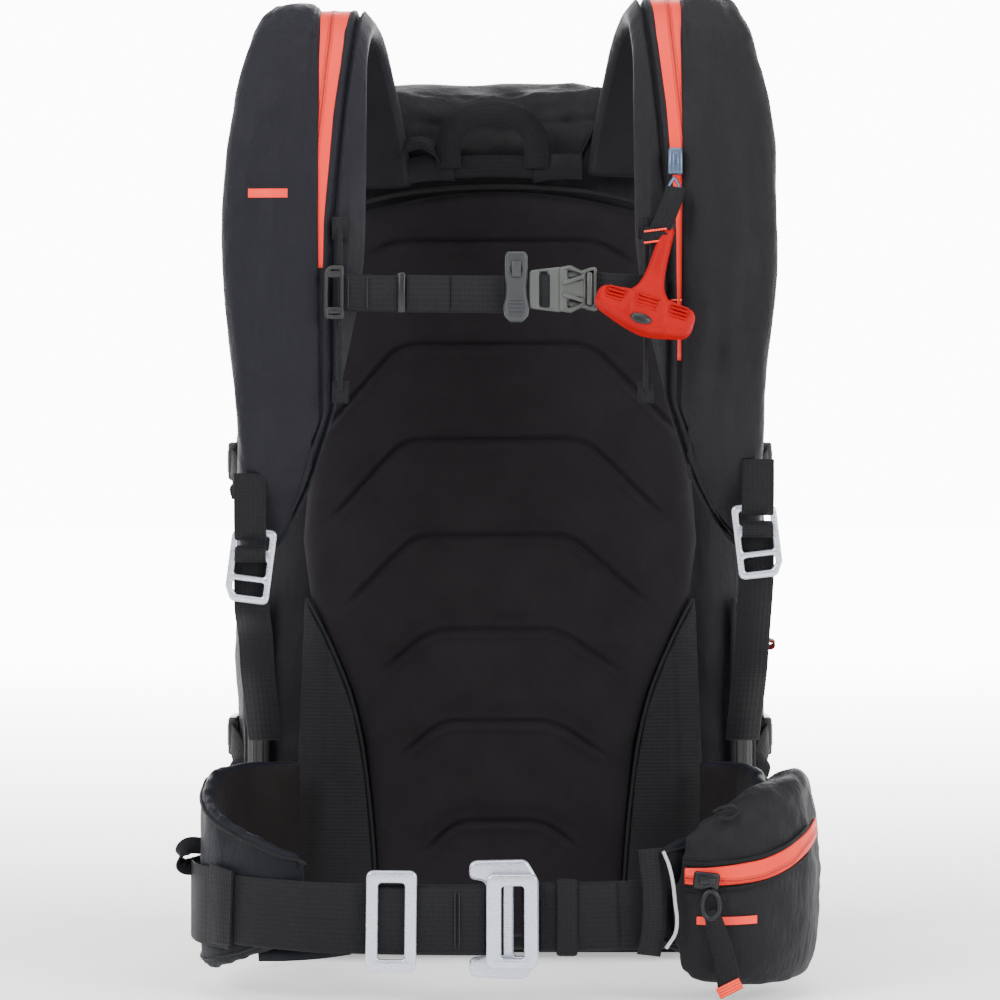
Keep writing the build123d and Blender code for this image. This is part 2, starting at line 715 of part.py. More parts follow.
with BuildPart() as hip_pull:
    with BuildSketch(facing(118, ZIP_FACE_Y - 3.6, 52)):
        RectangleRounded(13, 26, 2)
    extrude(amount=1.6)
    with BuildSketch(facing(127, ZIP_FACE_Y - 3.6, 24)):
        RectangleRounded(8, 42, 1)
    extrude(amount=1.6)
write(hip_pull.part, "hip_pocket_pull")

with BuildPart() as gear_loop:
    with BuildSketch(Plane.XZ.offset(188)):
        with Locations((-178, 74)):
            RectangleRounded(10, 24, 3)
            RectangleRounded(5, 15, 2, mode=Mode.SUBTRACT)
    extrude(amount=4)
write(gear_loop.part, "gear_loop")

# Webbing from the right wing carries the buckle's front frame; webbing from the left carries the hook.
with BuildPart() as belt_webbing_right:
    with BuildSketch(Plane.XY.offset(BELT_Z)):
        add(
            ribbon(
                [
                    (-171.8, -180), (-167.4, -218.4), (-129, -256.8), (-104, BELT_FRONT_WEB_Y),
                    (4.4, BELT_FRONT_WEB_Y), (4.4, -272),
                ],
                [30, 26, 20, 1], WEB_THICK,
            )
        )
    extrude(amount=19, both=True)
write(belt_webbing_right.part, "belt_webbing_right")

with BuildPart() as belt_frame:
    add(plate(facing(6.5, -268.4, 47.5), (27, 51), 5, PLATE_THICK, [(-1.5, 2, 12, 40)], edge=0.8))
write(belt_frame.part, "belt_buckle_frame")

with BuildPart() as belt_hook:
    with BuildSketch(facing(1.6, -261.25, 48)):
        RectangleRounded(36, 64, 6)
        with Locations((-13, 0)):
            Rectangle(18, 36, mode=Mode.SUBTRACT)
        with Locations((11, 2)):
            RectangleRounded(8, 41, 2, mode=Mode.SUBTRACT)
        for z in (-27, 27):
            with Locations((2, z)):
                SlotOverall(8, 2.5, mode=Mode.SUBTRACT)
    extrude(amount=PLATE_THICK / 2, both=True)
write(belt_hook.part, "belt_buckle_hook")

with BuildPart() as belt_webbing_left:
    with BuildSketch(Plane.XY.offset(BELT_Z)):
        add(
            ribbon(
                [(68.4, BELT_REAR_WEB_Y), (12.6, BELT_REAR_WEB_Y), (12.6, -264.2), (23, -264.2),
                 (28, -260.4), (68.4, -260.4)],
                [0.8, 0.8, 1, 1], WEB_THICK,
            )
        )
    extrude(amount=19.5, both=True)
write(belt_webbing_left.part, "belt_webbing_left")

write(keeper((36.5, -259.4, BELT_Z), (11, 6.6, 43), (4.2, 39.8)), "belt_keeper")
write(plate(facing(-59, -269.4, 48), (27, 55), 5, 3, [(0, 0, 14, 41)], edge=0.8), "belt_adjuster")
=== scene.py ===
"""Avalanche airbag backpack: fabric, webbing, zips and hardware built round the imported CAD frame.

All places are in millimetres in the CAD's frame (+Z up, harness towards -Y, +X the wearer's left) until a mesh
is made, when they become metres.
"""

from math import atan2, cos, exp, hypot, pi, radians, sin, sqrt

import bmesh
import bpy
from mathutils import Matrix, Vector, noise


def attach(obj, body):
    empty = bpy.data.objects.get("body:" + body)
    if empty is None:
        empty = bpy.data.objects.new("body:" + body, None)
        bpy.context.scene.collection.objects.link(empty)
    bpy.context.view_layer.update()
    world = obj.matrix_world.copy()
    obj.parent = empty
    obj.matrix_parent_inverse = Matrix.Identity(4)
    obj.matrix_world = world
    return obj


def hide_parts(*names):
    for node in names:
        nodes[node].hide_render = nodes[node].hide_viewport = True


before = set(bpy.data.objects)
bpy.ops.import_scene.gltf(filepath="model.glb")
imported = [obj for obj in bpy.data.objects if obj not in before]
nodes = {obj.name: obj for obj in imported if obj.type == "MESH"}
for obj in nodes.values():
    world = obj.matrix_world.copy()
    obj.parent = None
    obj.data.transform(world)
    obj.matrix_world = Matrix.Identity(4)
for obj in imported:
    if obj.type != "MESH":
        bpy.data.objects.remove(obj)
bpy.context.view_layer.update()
MM = 0.001
SIDES = (("left", 1), ("right", -1))
STRAP_LIFT = {"left": 7, "right": 0}

# ---------------------------------------------------------------- camera, floor and light

scene = bpy.context.scene
camera = bpy.data.objects.new("camera", bpy.data.cameras.new("camera"))
scene.collection.objects.link(camera)
camera.data.sensor_width = 36
camera.data.lens = 115.7
camera.data.clip_end = 30
camera.location = (0, -2.015, 0.276)
camera.rotation_euler = (radians(90), 0, 0)
scene.camera = camera


def area_light(name, place, aim, size, power, colour=(1, 1, 1)):
    """A square soft light at place, pointed at aim, in metres."""
    data = bpy.data.lights.new(name, "AREA")
    data.shape = "SQUARE"
    data.size = size
    data.energy = power
    data.color = colour
    light = bpy.data.objects.new(name, data)
    light.location = place
    light.rotation_euler = (Vector(aim) - Vector(place)).to_track_quat("-Z", "Y").to_euler()
    scene.collection.objects.link(light)


area_light("key", (-1.5, -1.9, 1.7), (0, -0.1, 0.3), 1.1, 62, (0.96, 0.98, 1.0))
area_light("fill", (1.7, -1.7, 1.2), (0, -0.1, 0.3), 1.1, 46)
area_light("top", (0, -0.6, 2.3), (0, -0.05, 0.3), 1.6, 30)
area_light("rim_left", (-1.8, 0.5, 0.9), (-0.1, 0, 0.3), 1.0, 14)
area_light("rim_right", (1.8, 0.5, 0.9), (0.1, 0, 0.3), 1.0, 14)
area_light("rear", (0.4, 2.4, 1.5), (0, 0.1, 0.25), 1.4, 30)

world = bpy.data.worlds.new("studio")
scene.world = world
world.use_nodes = True
world.node_tree.nodes["Background"].inputs["Color"].default_value = (1, 1, 1, 1)
# The studio's far wall, towards +Y, is lit more brightly than the rest of the room.
sky = world.node_tree
place = sky.nodes.new("ShaderNodeTexCoord")
split = sky.nodes.new("ShaderNodeSeparateXYZ")
glow = sky.nodes.new("ShaderNodeMapRange")
for index, value in enumerate((0.80, 0.95, 0.5, 12.0), 1):
    glow.inputs[index].default_value = value
sky.links.new(place.outputs["Generated"], split.inputs[0])
sky.links.new(split.outputs[1], glow.inputs[0])
sky.links.new(glow.outputs[0], sky.nodes["Background"].inputs["Strength"])

# ---------------------------------------------------------------- material building


class Shader:
    """A material's node tree, with short calls for the maths that patterns need."""

    def __init__(self, name, colour=(0.8, 0.8, 0.8), rough=0.5, metal=0.0):
        self.material = bpy.data.materials.new(name)
        self.material.use_nodes = True
        self.tree = self.material.node_tree
        self.bsdf = self.tree.nodes["Principled BSDF"]
        self.bsdf.inputs["Base Color"].default_value = (*colour, 1)
        self.bsdf.inputs["Roughness"].default_value = rough
        self.bsdf.inputs["Metallic"].default_value = metal
        self.material.diffuse_color = (*colour, 1)

    def node(self, kind, **settings):
        made = self.tree.nodes.new(kind)
        for key, value in settings.items():
            setattr(made, key, value)
        return made

    def join(self, source, target):
        self.tree.links.new(source, target)

    def math(self, operation, a, b=0.0, c=0.0):
        made = self.node("ShaderNodeMath", operation=operation)
        for k, value in enumerate((a, b, c)):
            if isinstance(value, (int, float)):
                made.inputs[k].default_value = value
            else:
                self.join(value, made.inputs[k])
        return made.outputs[0]

    def uv(self):
        """The piece's own coordinates in metres: u along it, v across it."""
        source = self.node("ShaderNodeUVMap", uv_map="cloth")
        split = self.node("ShaderNodeSeparateXYZ")
        self.join(source.outputs[0], split.inputs[0])
        return split.outputs[0], split.outputs[1]

    def place(self):
        return self.node("ShaderNodeTexCoord").outputs["Object"]

    def noise(self, scale, detail=3.0, rough=0.55, stretch=None):
        """Noise in the object's own space, with scale in features per metre."""
        made = self.node("ShaderNodeTexNoise")
        made.inputs["Scale"].default_value = scale
        made.inputs["Detail"].default_value = detail
        made.inputs["Roughness"].default_value = rough
        place = self.place()
        if stretch:
            mapping = self.node("ShaderNodeMapping")
            mapping.inputs["Scale"].default_value = stretch
            self.join(place, mapping.inputs[0])
            place = mapping.outputs[0]
        self.join(place, made.inputs["Vector"])
        return made.outputs[0]

    def wave(self, value, pitch, phase=0.0):
        """0.5 + 0.5 sin of value over pitch metres."""
        turned = self.math("MULTIPLY_ADD", value, 2 * pi / pitch, phase)
        return self.math("MULTIPLY_ADD", self.math("SINE", turned), 0.5, 0.5)

    def remap(self, value, low, high, to_low=0.0, to_high=1.0):
        made = self.node("ShaderNodeMapRange", clamp=True)
        for k, number in enumerate((low, high, to_low, to_high), 1):
            made.inputs[k].default_value = number
        self.join(value, made.inputs[0])
        return made.outputs[0]

    def blend(self, share, dark, light):
        """Runs the base colour from dark to light by share."""
        made = self.node("ShaderNodeMix", data_type="RGBA")
        self.join(share, made.inputs[0])
        for k, colour in ((6, dark), (7, light)):
            if isinstance(colour, tuple):
                made.inputs[k].default_value = (*colour, 1)
            else:
                self.join(colour, made.inputs[k])
        return made.outputs[2]

    def colour(self, source):
        self.join(source, self.bsdf.inputs["Base Color"])

    def rough(self, source):
        self.join(source, self.bsdf.inputs["Roughness"])

    def bump(self, height, depth, strength=1.0):
        """Bump from height, where 1 stands depth metres proud. Later calls stack on earlier ones."""
        made = self.node("ShaderNodeBump")
        made.inputs["Strength"].default_value = strength
        made.inputs["Distance"].default_value = depth
        self.join(height, made.inputs["Height"])
        old = self.bsdf.inputs["Normal"].links
        if old:
            self.join(old[0].from_socket, made.inputs["Normal"])
        self.join(made.outputs[0], self.bsdf.inputs["Normal"])


def scaled(colour, factor):
    return tuple(c * factor for c in colour)


def woven(name, colour, pitch=0.0011, ripstop=0.0, contrast=0.35, rough=0.62, crease=0.5, sheen=0.25):
    """Nylon cloth: a plain weave, soft blotches, fine crumpling and, if ripstop is set, its grid."""
    s = Shader(name, colour, rough)
    u, v = s.uv()
    threads = s.math("MULTIPLY", s.wave(u, pitch), s.wave(v, pitch))
    warp = s.noise(60, 2, stretch=(9, 9, 0.6))
    tone = s.math("MULTIPLY_ADD", threads, 0.5, s.math("MULTIPLY", warp, 0.5))
    if ripstop:
        across = s.remap(s.wave(u, ripstop), 0.965, 1.0)
        along = s.remap(s.wave(v, ripstop), 0.965, 1.0)
        grid = s.math("MAXIMUM", across, along)
        tone = s.math("MULTIPLY_ADD", grid, 0.3, tone)
    blotch = s.remap(s.noise(14, 4), 0.3, 0.7)
    cloth = s.blend(tone, scaled(colour, 1 - contrast), scaled(colour, 1 + contrast))
    s.colour(s.blend(s.math("MULTIPLY", blotch, 0.25), cloth, scaled(colour, 1.3)))
    s.rough(s.remap(s.noise(40, 3), 0.3, 0.7, rough - 0.05, rough + 0.08))
    s.bump(threads, 0.00018, 0.5)
    s.bump(s.noise(48, 4, 0.6, (1, 1, 0.4)), 0.0034, crease)
    s.bsdf.inputs["Specular IOR Level"].default_value = 0.16
    s.bsdf.inputs["Sheen Weight"].default_value = sheen * 0.1
    s.bsdf.inputs["Sheen Roughness"].default_value = 0.5
    s.bsdf.inputs["Sheen Tint"].default_value = (0.8, 0.85, 1.0, 1)
    return s.material


def ribbed(name, colour, along=0.0013, across=0.0026, rough=0.7, contrast=0.55, depth=0.0003, sheen=0.2):
    """Webbing or spacer fabric: ribs across u, crossed by finer warp threads along v."""
    s = Shader(name, colour, rough)
    u, v = s.uv()
    ribs = s.wave(u, along)
    warp = s.wave(v, across)
    tone = s.math("MULTIPLY_ADD", ribs, 0.6, s.math("MULTIPLY", warp, 0.4))
    fuzz = s.noise(900, 2)
    tone = s.math("MULTIPLY_ADD", fuzz, 0.25, tone)
    s.colour(s.blend(tone, scaled(colour, 1 - contrast), scaled(colour, 1 + contrast)))
    s.rough(s.remap(fuzz, 0.3, 0.7, rough - 0.06, rough + 0.06))
    s.bump(s.math("MULTIPLY_ADD", ribs, 0.6, s.math("MULTIPLY", warp, 0.5)), depth, 0.7)
    s.bsdf.inputs["Specular IOR Level"].default_value = 0.18
    s.bsdf.inputs["Sheen Weight"].default_value = sheen * 0.1
    s.bsdf.inputs["Sheen Roughness"].default_value = 0.45
    return s.material


def moulded(name, colour, rough=0.38, grain=0.00012, coat=0.0, shine=0.35):
    """Injection-moulded plastic: a fine grain, a slight unevenness of gloss and worn lighter specks."""
    s = Shader(name, colour, rough)
    grit = s.noise(1400, 3)
    broad = s.noise(35, 3)
    s.colour(s.blend(s.remap(broad, 0.35, 0.7), scaled(colour, 0.88), scaled(colour, 1.1)))
    s.rough(s.remap(broad, 0.3, 0.7, rough - 0.06, rough + 0.08))
    s.bump(grit, grain, 0.4)
    s.bsdf.inputs["Coat Weight"].default_value = coat
    s.bsdf.inputs["Specular IOR Level"].default_value = shine
    return s.material


def anodised(name, colour, rough=0.34):
    """Bead-blasted anodised aluminium with faint scuffs."""
    s = Shader(name, colour, rough, 0.7)
    scuffs = s.noise(260, 4, 0.65, (1, 1, 5))
    s.colour(s.blend(s.remap(scuffs, 0.35, 0.75), scaled(colour, 0.93), colour))
    s.rough(s.remap(scuffs, 0.3, 0.7, rough - 0.05, rough + 0.1))
    s.bump(s.noise(2500, 2), 0.00004, 0.5)
    return s.material


def zipped(name, colour, coil=0.0016, pitch=0.0013, line=(0.1, 0.01, 0.01)):
    """A zip's tape, with its coil down the middle where v is 0."""
    s = Shader(name, colour, 0.5)
    u, v = s.uv()
    away = s.math("ABSOLUTE", v)
    on_coil = s.remap(away, coil * 0.9, coil, 1.0, 0.0)
    split = s.remap(away, 0.00015, 0.0004, 1.0, 0.0)
    lean = s.math("MULTIPLY_ADD", away, 0.8, u)
    teeth = s.wave(lean, pitch)
    threads = s.math("MULTIPLY", s.wave(u, 0.0009), s.wave(v, 0.0009))
    tape = s.blend(s.math("MULTIPLY_ADD", threads, 0.5, 0.3), scaled(colour, 0.84), colour)
    coiled = s.blend(teeth, scaled(colour, 0.5), scaled(colour, 1.0))
    both = s.blend(on_coil, tape, coiled)
    s.colour(s.blend(s.math("MULTIPLY", split, 0.85), both, line))
    rise = s.math("MULTIPLY", on_coil, s.math("MULTIPLY_ADD", teeth, 0.5, 0.6))
    s.bump(s.math("SUBTRACT", rise, split), 0.0006, 0.8)
    s.bump(threads, 0.00012, 0.4)
    s.bsdf.inputs["Specular IOR Level"].default_value = 0.3
    return s.material


# Both straps are the same cloth. The wearer's right strap, on the key lamp's side, gets a lighter and bluer copy of
# the colour than the left strap: painted light falling on that strap.
STRAP_RIGHT_LIT = woven("strap_cloth_right_lit", (0.0078, 0.0075, 0.0112), contrast=0.45, crease=0.7)
STRAP_LEFT = woven("strap_cloth_left", (0.0078, 0.0070, 0.0088), contrast=0.45, crease=0.7)
STRAP_INNER = woven("strap_lining", (0.0055, 0.0055, 0.0068), rough=0.72)
BAG = woven("bag_cloth", (0.0052, 0.0049, 0.0066), ripstop=0.006, crease=0.8)
PACK_CLOTH = woven("pack_cloth", (0.0048, 0.0048, 0.0060), crease=0.8)
POCKET = woven("pocket_cloth", (0.0068, 0.0062, 0.0078), crease=0.9)
PANEL = woven("panel_cloth", (0.0062, 0.0044, 0.0057), pitch=0.0009, contrast=0.25, crease=0.12, rough=0.75)
LINING = woven("wing_lining", (0.0065, 0.0044, 0.0044), crease=0.7, rough=0.75)
WING = woven("wing_cloth", (0.0030, 0.0032, 0.0062), crease=0.6)
SPACER = ribbed("spacer_mesh", (0.0052, 0.0052, 0.0062), along=0.0022, across=0.0011, contrast=0.5)
WEB = ribbed("webbing", (0.0046, 0.0045, 0.0058))
WEB_CHEST = ribbed("chest_webbing", (0.0056, 0.0054, 0.0068), along=0.0016, across=0.0030)
BINDING = ribbed("binding", (0.0050, 0.0050, 0.0060), along=0.0009, across=0.002)
ORANGE_ZIP = zipped("orange_zip", (0.88, 0.028, 0.010), line=(0.30, 0.012, 0.006))
BLACK_ZIP = zipped("black_zip", (0.0070, 0.0070, 0.0080), line=(0.002, 0.002, 0.002))
TRIGGER = moulded("trigger_plastic", (0.34, 0.0008, 0.0010), 0.5, shine=0.12)
BUCKLE = moulded("buckle_plastic", (0.062, 0.066, 0.062), 0.36)
WHISTLE = moulded("whistle_plastic", (0.030, 0.032, 0.035), 0.42)
DARK_PLASTIC = moulded("dark_plastic", (0.012, 0.012, 0.013), 0.4)
METAL = anodised("anodised_aluminium", (0.60, 0.63, 0.72), 0.28)
STEEL_BLUE = anodised("zip_slider_metal", (0.10, 0.14, 0.22), 0.3)
BLACK_METAL = anodised("black_slider_metal", (0.02, 0.02, 0.022), 0.35)
PIPING = moulded("reflective_piping", (0.42, 0.43, 0.44), 0.45)
ORANGE_THREAD = ribbed("orange_thread", (0.75, 0.045, 0.02), along=0.0016, across=0.001)

# ---------------------------------------------------------------- mesh building


def mesh_piece(name, verts, faces, material, body, uvs=None, smooth=True, subdivide=0):
    """A mesh from places in millimetres. uvs gives (u, v) in millimetres for each vertex."""
    data = bpy.data.meshes.new(name)
    data.from_pydata([(x * MM, y * MM, z * MM) for x, y, z in verts], [], faces)
    if uvs:
        layer = data.uv_layers.new(name="cloth")
        for loop in data.loops:
            u, v = uvs[loop.vertex_index]
            layer.data[loop.index].uv = (u * MM, v * MM)
    data.materials.append(material)
    piece = bpy.data.objects.new(name, data)
    scene.collection.objects.link(piece)
    return dress(piece, body, smooth, subdivide)


def dress(piece, body, smooth=True, subdivide=0):
    """Smooths and subdivides a piece, gives it cloth coordinates if it has none, and puts it on its body."""
    if subdivide:
        modifier = piece.modifiers.new("smooth", "SUBSURF")
        modifier.levels = modifier.render_levels = subdivide
        bake(piece)
    bm = bmesh.new()
    bm.from_mesh(piece.data)
    bmesh.ops.recalc_face_normals(bm, faces=bm.faces)
    bm.to_mesh(piece.data)
    bm.free()
    piece.data.polygons.foreach_set("use_smooth", [smooth] * len(piece.data.polygons))
    if "cloth" not in piece.data.uv_layers:
        box_uv(piece)
    if body:
        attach(piece, body)
    return piece


def bake(piece):
    """Applies a piece's modifiers."""
    evaluated = piece.evaluated_get(bpy.context.evaluated_depsgraph_get())
    data = bpy.data.meshes.new_from_object(evaluated)
    piece.modifiers.clear()
    piece.data = data
    return piece


def box_uv(piece):
    """Cloth coordinates in metres, taken flat along each face's main direction."""
    data = piece.data
    layer = data.uv_layers.new(name="cloth")
    for face in data.polygons:
        n = [abs(c) for c in face.normal]
        first, second = ((1, 2), (0, 2), (0, 1))[n.index(max(n))]
        for k in face.loop_indices:
            co = data.vertices[data.loops[k].vertex_index].co
            layer.data[k].uv = (co[first], co[second])


def smooth_path(points, count):
    """count places along a Catmull-Rom curve through points, evenly spaced in its parameter."""
    points = [Vector(p) for p in points]
    last = len(points) - 1
    if last == 1:
        return [points[0].lerp(points[1], k / (count - 1)) for k in range(count)]
    out = []
    for k in range(count):
        at = k / (count - 1) * last
        i = min(int(at), last - 1)
        t = at - i
        b, c = points[i], points[i + 1]
        a = points[i - 1] if i else b * 2 - c
        d = points[i + 2] if i + 2 <= last else c * 2 - b
        out.append(
            0.5 * ((2 * b) + (c - a) * t + (2 * a - 5 * b + 4 * c - d) * t * t + (3 * b - a - 3 * c + d) * t ** 3)
        )
    return out


def loft(name, rings, material, body, closed=True, capped=True, subdivide=0, uvs=True, smooth=True):
    """A skin through rings of places, each ring with the same count, capped at both ends if asked."""
    count = len(rings[0])
    verts = [p for ring in rings for p in ring]
    faces = []
    span = count if closed else count - 1
    for r in range(len(rings) - 1):
        for k in range(span):
            n = (k + 1) % count
            faces.append((r * count + k, r * count + n, (r + 1) * count + n, (r + 1) * count + k))
    if capped and closed:
        faces.append(tuple(range(count)))
        faces.append(tuple((len(rings) - 1) * count + k for k in reversed(range(count))))
    places = None
    if uvs:
        places = []
        middle = [Vector(ring[count // 4]) for ring in rings]
        along = 0.0
        for r, ring in enumerate(rings):
            if r:
                along += (middle[r] - middle[r - 1]).length
            across = 0.0
            for k, p in enumerate(ring):
                if k:
                    across += (Vector(p) - Vector(ring[k - 1])).length
                places.append((along, across))
    return mesh_piece(name, verts, faces, material, body, places, smooth, subdivide)


def strip(name, points, across, width, thick, material, body, count=40, edge=0.35):
    """Flat webbing: points is its middle line, across its width's direction (one vector, or one per point)."""
    line = smooth_path(points, count)
    if isinstance(across[0], (int, float)):
        across = [across] * len(points)
    sides = smooth_path(across, count)
    widths = width if isinstance(width, (list, tuple)) else [width, width]
    verts, uvs, faces = [], [], []
    profile = [(-0.5, -0.5 + edge), (-0.5, 0.5 - edge), (-0.48, 0.5), (0.48, 0.5), (0.5, 0.5 - edge),
               (0.5, -0.5 + edge), (0.48, -0.5), (-0.48, -0.5)]
    along = 0.0
    for k, p in enumerate(line):
        if k:
            along += (p - line[k - 1]).length
        tangent = (line[min(k + 1, count - 1)] - line[max(k - 1, 0)]).normalized()
        side = (sides[k] - tangent * sides[k].dot(tangent)).normalized()
        normal = tangent.cross(side)
        here = widths[0] + (widths[-1] - widths[0]) * k / (count - 1)
        for a, h in profile:
            verts.append(p + side * (a * here) + normal * (h * thick))
            uvs.append((along, a * here))
    n = len(profile)
    for r in range(count - 1):
        for k in range(n):
            faces.append((r * n + k, r * n + (k + 1) % n, (r + 1) * n + (k + 1) % n, (r + 1) * n + k))
    faces.append(tuple(range(n)))
    faces.append(tuple((count - 1) * n + k for k in reversed(range(n))))
    piece = mesh_piece(name, verts, faces, material, body, uvs)
    return piece


def tube(name, points, radius, material, body, count=60, around=10):
    """A round cord or piping along points."""
    line = smooth_path(points, count)
    rings = []
    side = None
    for k, p in enumerate(line):
        tangent = (line[min(k + 1, count - 1)] - line[max(k - 1, 0)]).normalized()
        if side is None:
            side = tangent.orthogonal().normalized()
        side = (side - tangent * side.dot(tangent)).normalized()
        other = tangent.cross(side)
        rings.append(
            [p + side * (radius * cos(2 * pi * j / around)) + other * (radius * sin(2 * pi * j / around))
             for j in range(around)]
        )
    return loft(name, rings, material, body)


def rounded_rectangle(x, y, width, height, radius, steps=6):
    """Points round a rounded rectangle centred at x, y."""
    out = []
    for cx, cy, start in (
        (x + width / 2 - radius, y + height / 2 - radius, 0),
        (x - width / 2 + radius, y + height / 2 - radius, 90),
        (x - width / 2 + radius, y - height / 2 + radius, 180),
        (x + width / 2 - radius, y - height / 2 + radius, 270),
    ):
        for k in range(steps + 1):
            a = radians(start + 90 * k / steps)
            out.append((cx + radius * cos(a), cy + radius * sin(a)))
    return out


def rounded_outline(points, radii, steps=5):
    """A closed outline with each corner rounded."""
    out = []
    count = len(points)
    radii = radii if isinstance(radii, (list, tuple)) else [radii] * count
    for k in range(count):
        p, a, b = Vector(points[k]), Vector(points[k - 1]), Vector(points[(k + 1) % count])
        to_a, to_b = (a - p).normalized(), (b - p).normalized()
        half = to_a.angle(to_b) / 2
        reach = min(radii[k] / max(sin(half) / cos(half), 0.05), (a - p).length * 0.48, (b - p).length * 0.48)
        start, end = p + to_a * reach, p + to_b * reach
        for j in range(steps + 1):
            t = j / steps
            out.append(tuple(start * (1 - t) ** 2 + p * (2 * t * (1 - t)) + end * t * t))
    return out


def plate(name, loops, thick, bevel, origin, x_dir, y_dir, material, body):
    """A flat moulding: the first loop is its outline and the rest are holes, with rounded edges."""
    curve = bpy.data.curves.new(name, "CURVE")
    curve.dimensions = "2D"
    curve.fill_mode = "BOTH"
    for loop in loops:
        spline = curve.splines.new("POLY")
        spline.points.add(len(loop) - 1)
        for point, (x, y) in zip(spline.points, loop):
            point.co = (x * MM, y * MM, 0, 1)
        spline.use_cyclic_u = True
    curve.extrude = max(thick / 2 - bevel, 0.01) * MM
    curve.bevel_depth = bevel * MM
    curve.bevel_resolution = 3
    curve.offset = -bevel * MM
    holder = bpy.data.objects.new(name + "_outline", curve)
    scene.collection.objects.link(holder)
    data = bpy.data.meshes.new_from_object(holder.evaluated_get(bpy.context.evaluated_depsgraph_get()))
    bpy.data.objects.remove(holder)
    bm = bmesh.new()
    bm.from_mesh(data)
    bmesh.ops.remove_doubles(bm, verts=bm.verts, dist=1e-6)
    bm.to_mesh(data)
    bm.free()
    data.materials.clear()
    data.materials.append(material)
    x_axis, y_axis = Vector(x_dir).normalized(), Vector(y_dir).normalized()
    z_axis = x_axis.cross(y_axis)
    place = Matrix((
        (x_axis.x, y_axis.x, z_axis.x, origin[0] * MM), (x_axis.y, y_axis.y, z_axis.y, origin[1] * MM),
        (x_axis.z, y_axis.z, z_axis.z, origin[2] * MM), (0, 0, 0, 1),
    ))
    data.transform(place)
    piece = bpy.data.objects.new(name, data)
    scene.collection.objects.link(piece)
    piece = dress(piece, body)
    sharpen(piece)
    return piece


def sharpen(piece, angle=35):
    """Shades a piece smooth except across edges sharper than angle."""
    bm = bmesh.new()
    bm.from_mesh(piece.data)
    for edge in bm.edges:
        edge.smooth = not (len(edge.link_faces) == 2 and edge.calc_face_angle(0) > radians(angle))
    bm.to_mesh(piece.data)
    bm.free()


def crumple(piece, size, depth, seed, stretch=(1, 1, 1), keep=None):
    """Moves a cloth piece's skin in and out in soft folds of about size millimetres and depth millimetres."""
    data = piece.data
    normals = [v.normal.copy() for v in data.vertices]
    for vertex, normal in zip(data.vertices, normals):
        p = vertex.co / MM
        q = Vector((p.x * stretch[0], p.y * stretch[1], p.z * stretch[2])) / size + Vector((seed, seed * 1.7,
            0))
        fold = noise.noise(q) * 0.65 + noise.noise(q * 2.3 + Vector((5, 1, 2))) * 0.35
        ridge = 1 - abs(noise.noise(q * 1.4 + Vector((9, 4, 7)))) * 2
        amount = depth * (fold * 0.8 + ridge * 0.25)
        if keep:
            amount *= keep(p)
        vertex.co += normal * (amount * MM)
    data.update()


def inflate(piece, voxel, pressure, cap, frames=20, stiff=8.0, hold=None):
    """Swells a closed cloth form by simulation, with no gravity, and lets no point move more than cap."""
    remesh = piece.modifiers.new("remesh", "REMESH")
    remesh.mode = "VOXEL"
    remesh.voxel_size = voxel * MM
    bake(piece)
    start = [v.co.copy() for v in piece.data.vertices]
    if hold:
        group = piece.vertex_groups.new(name="hold")
        for vertex in piece.data.vertices:
            weight = hold(vertex.co / MM)
            if weight > 0:
                group.add([vertex.index], weight, "REPLACE")
    cloth = piece.modifiers.new("cloth", "CLOTH")
    settings = cloth.settings
    settings.use_pressure = True
    settings.uniform_pressure_force = pressure
    settings.quality = 5
    settings.mass = 0.3
    settings.tension_stiffness = settings.compression_stiffness = stiff
    settings.shear_stiffness = stiff * 0.4
    settings.bending_stiffness = 0.5
    settings.effector_weights.gravity = 0
    if hold:
        settings.vertex_group_mass = "hold"
    for number in range(1, frames + 1):
        scene.frame_set(number)
    bake(piece)
    scene.frame_set(1)
    for vertex, origin in zip(piece.data.vertices, start):
        moved = vertex.co - origin
        if moved.length > cap * MM:
            vertex.co = origin + moved.normalized() * cap * MM
    return piece


def softened(piece, times, factor=0.5):
    """Relaxes a mesh a little."""
    modifier = piece.modifiers.new("relax", "SMOOTH")
    modifier.factor = factor
    modifier.iterations = times
    return bake(piece)

# ---------------------------------------------------------------- bag

BAG_FRONT = -83


def squared_ring(cx, cy, half_x, half_y, power, z, count=88):
    """A ring of places at height z, between an ellipse and a rectangle in shape."""
    ring = []
    for k in range(count):
        a = 2 * pi * k / count
        c, s = cos(a), sin(a)
        ring.append((
            cx + half_x * (1 if c > 0 else -1) * abs(c) ** power,
            cy + half_y * (1 if s > 0 else -1) * abs(s) ** power, z
        ))
    return ring


def ramp(pairs, at):
    """Straight-line value at a place along a list of (place, value)."""
    if at <= pairs[0][0]:
        return pairs[0][1]
    for (a, va), (b, vb) in zip(pairs, pairs[1:]):
        if at <= b:
            return va + (vb - va) * (at - a) / (b - a)
    return pairs[-1][1]


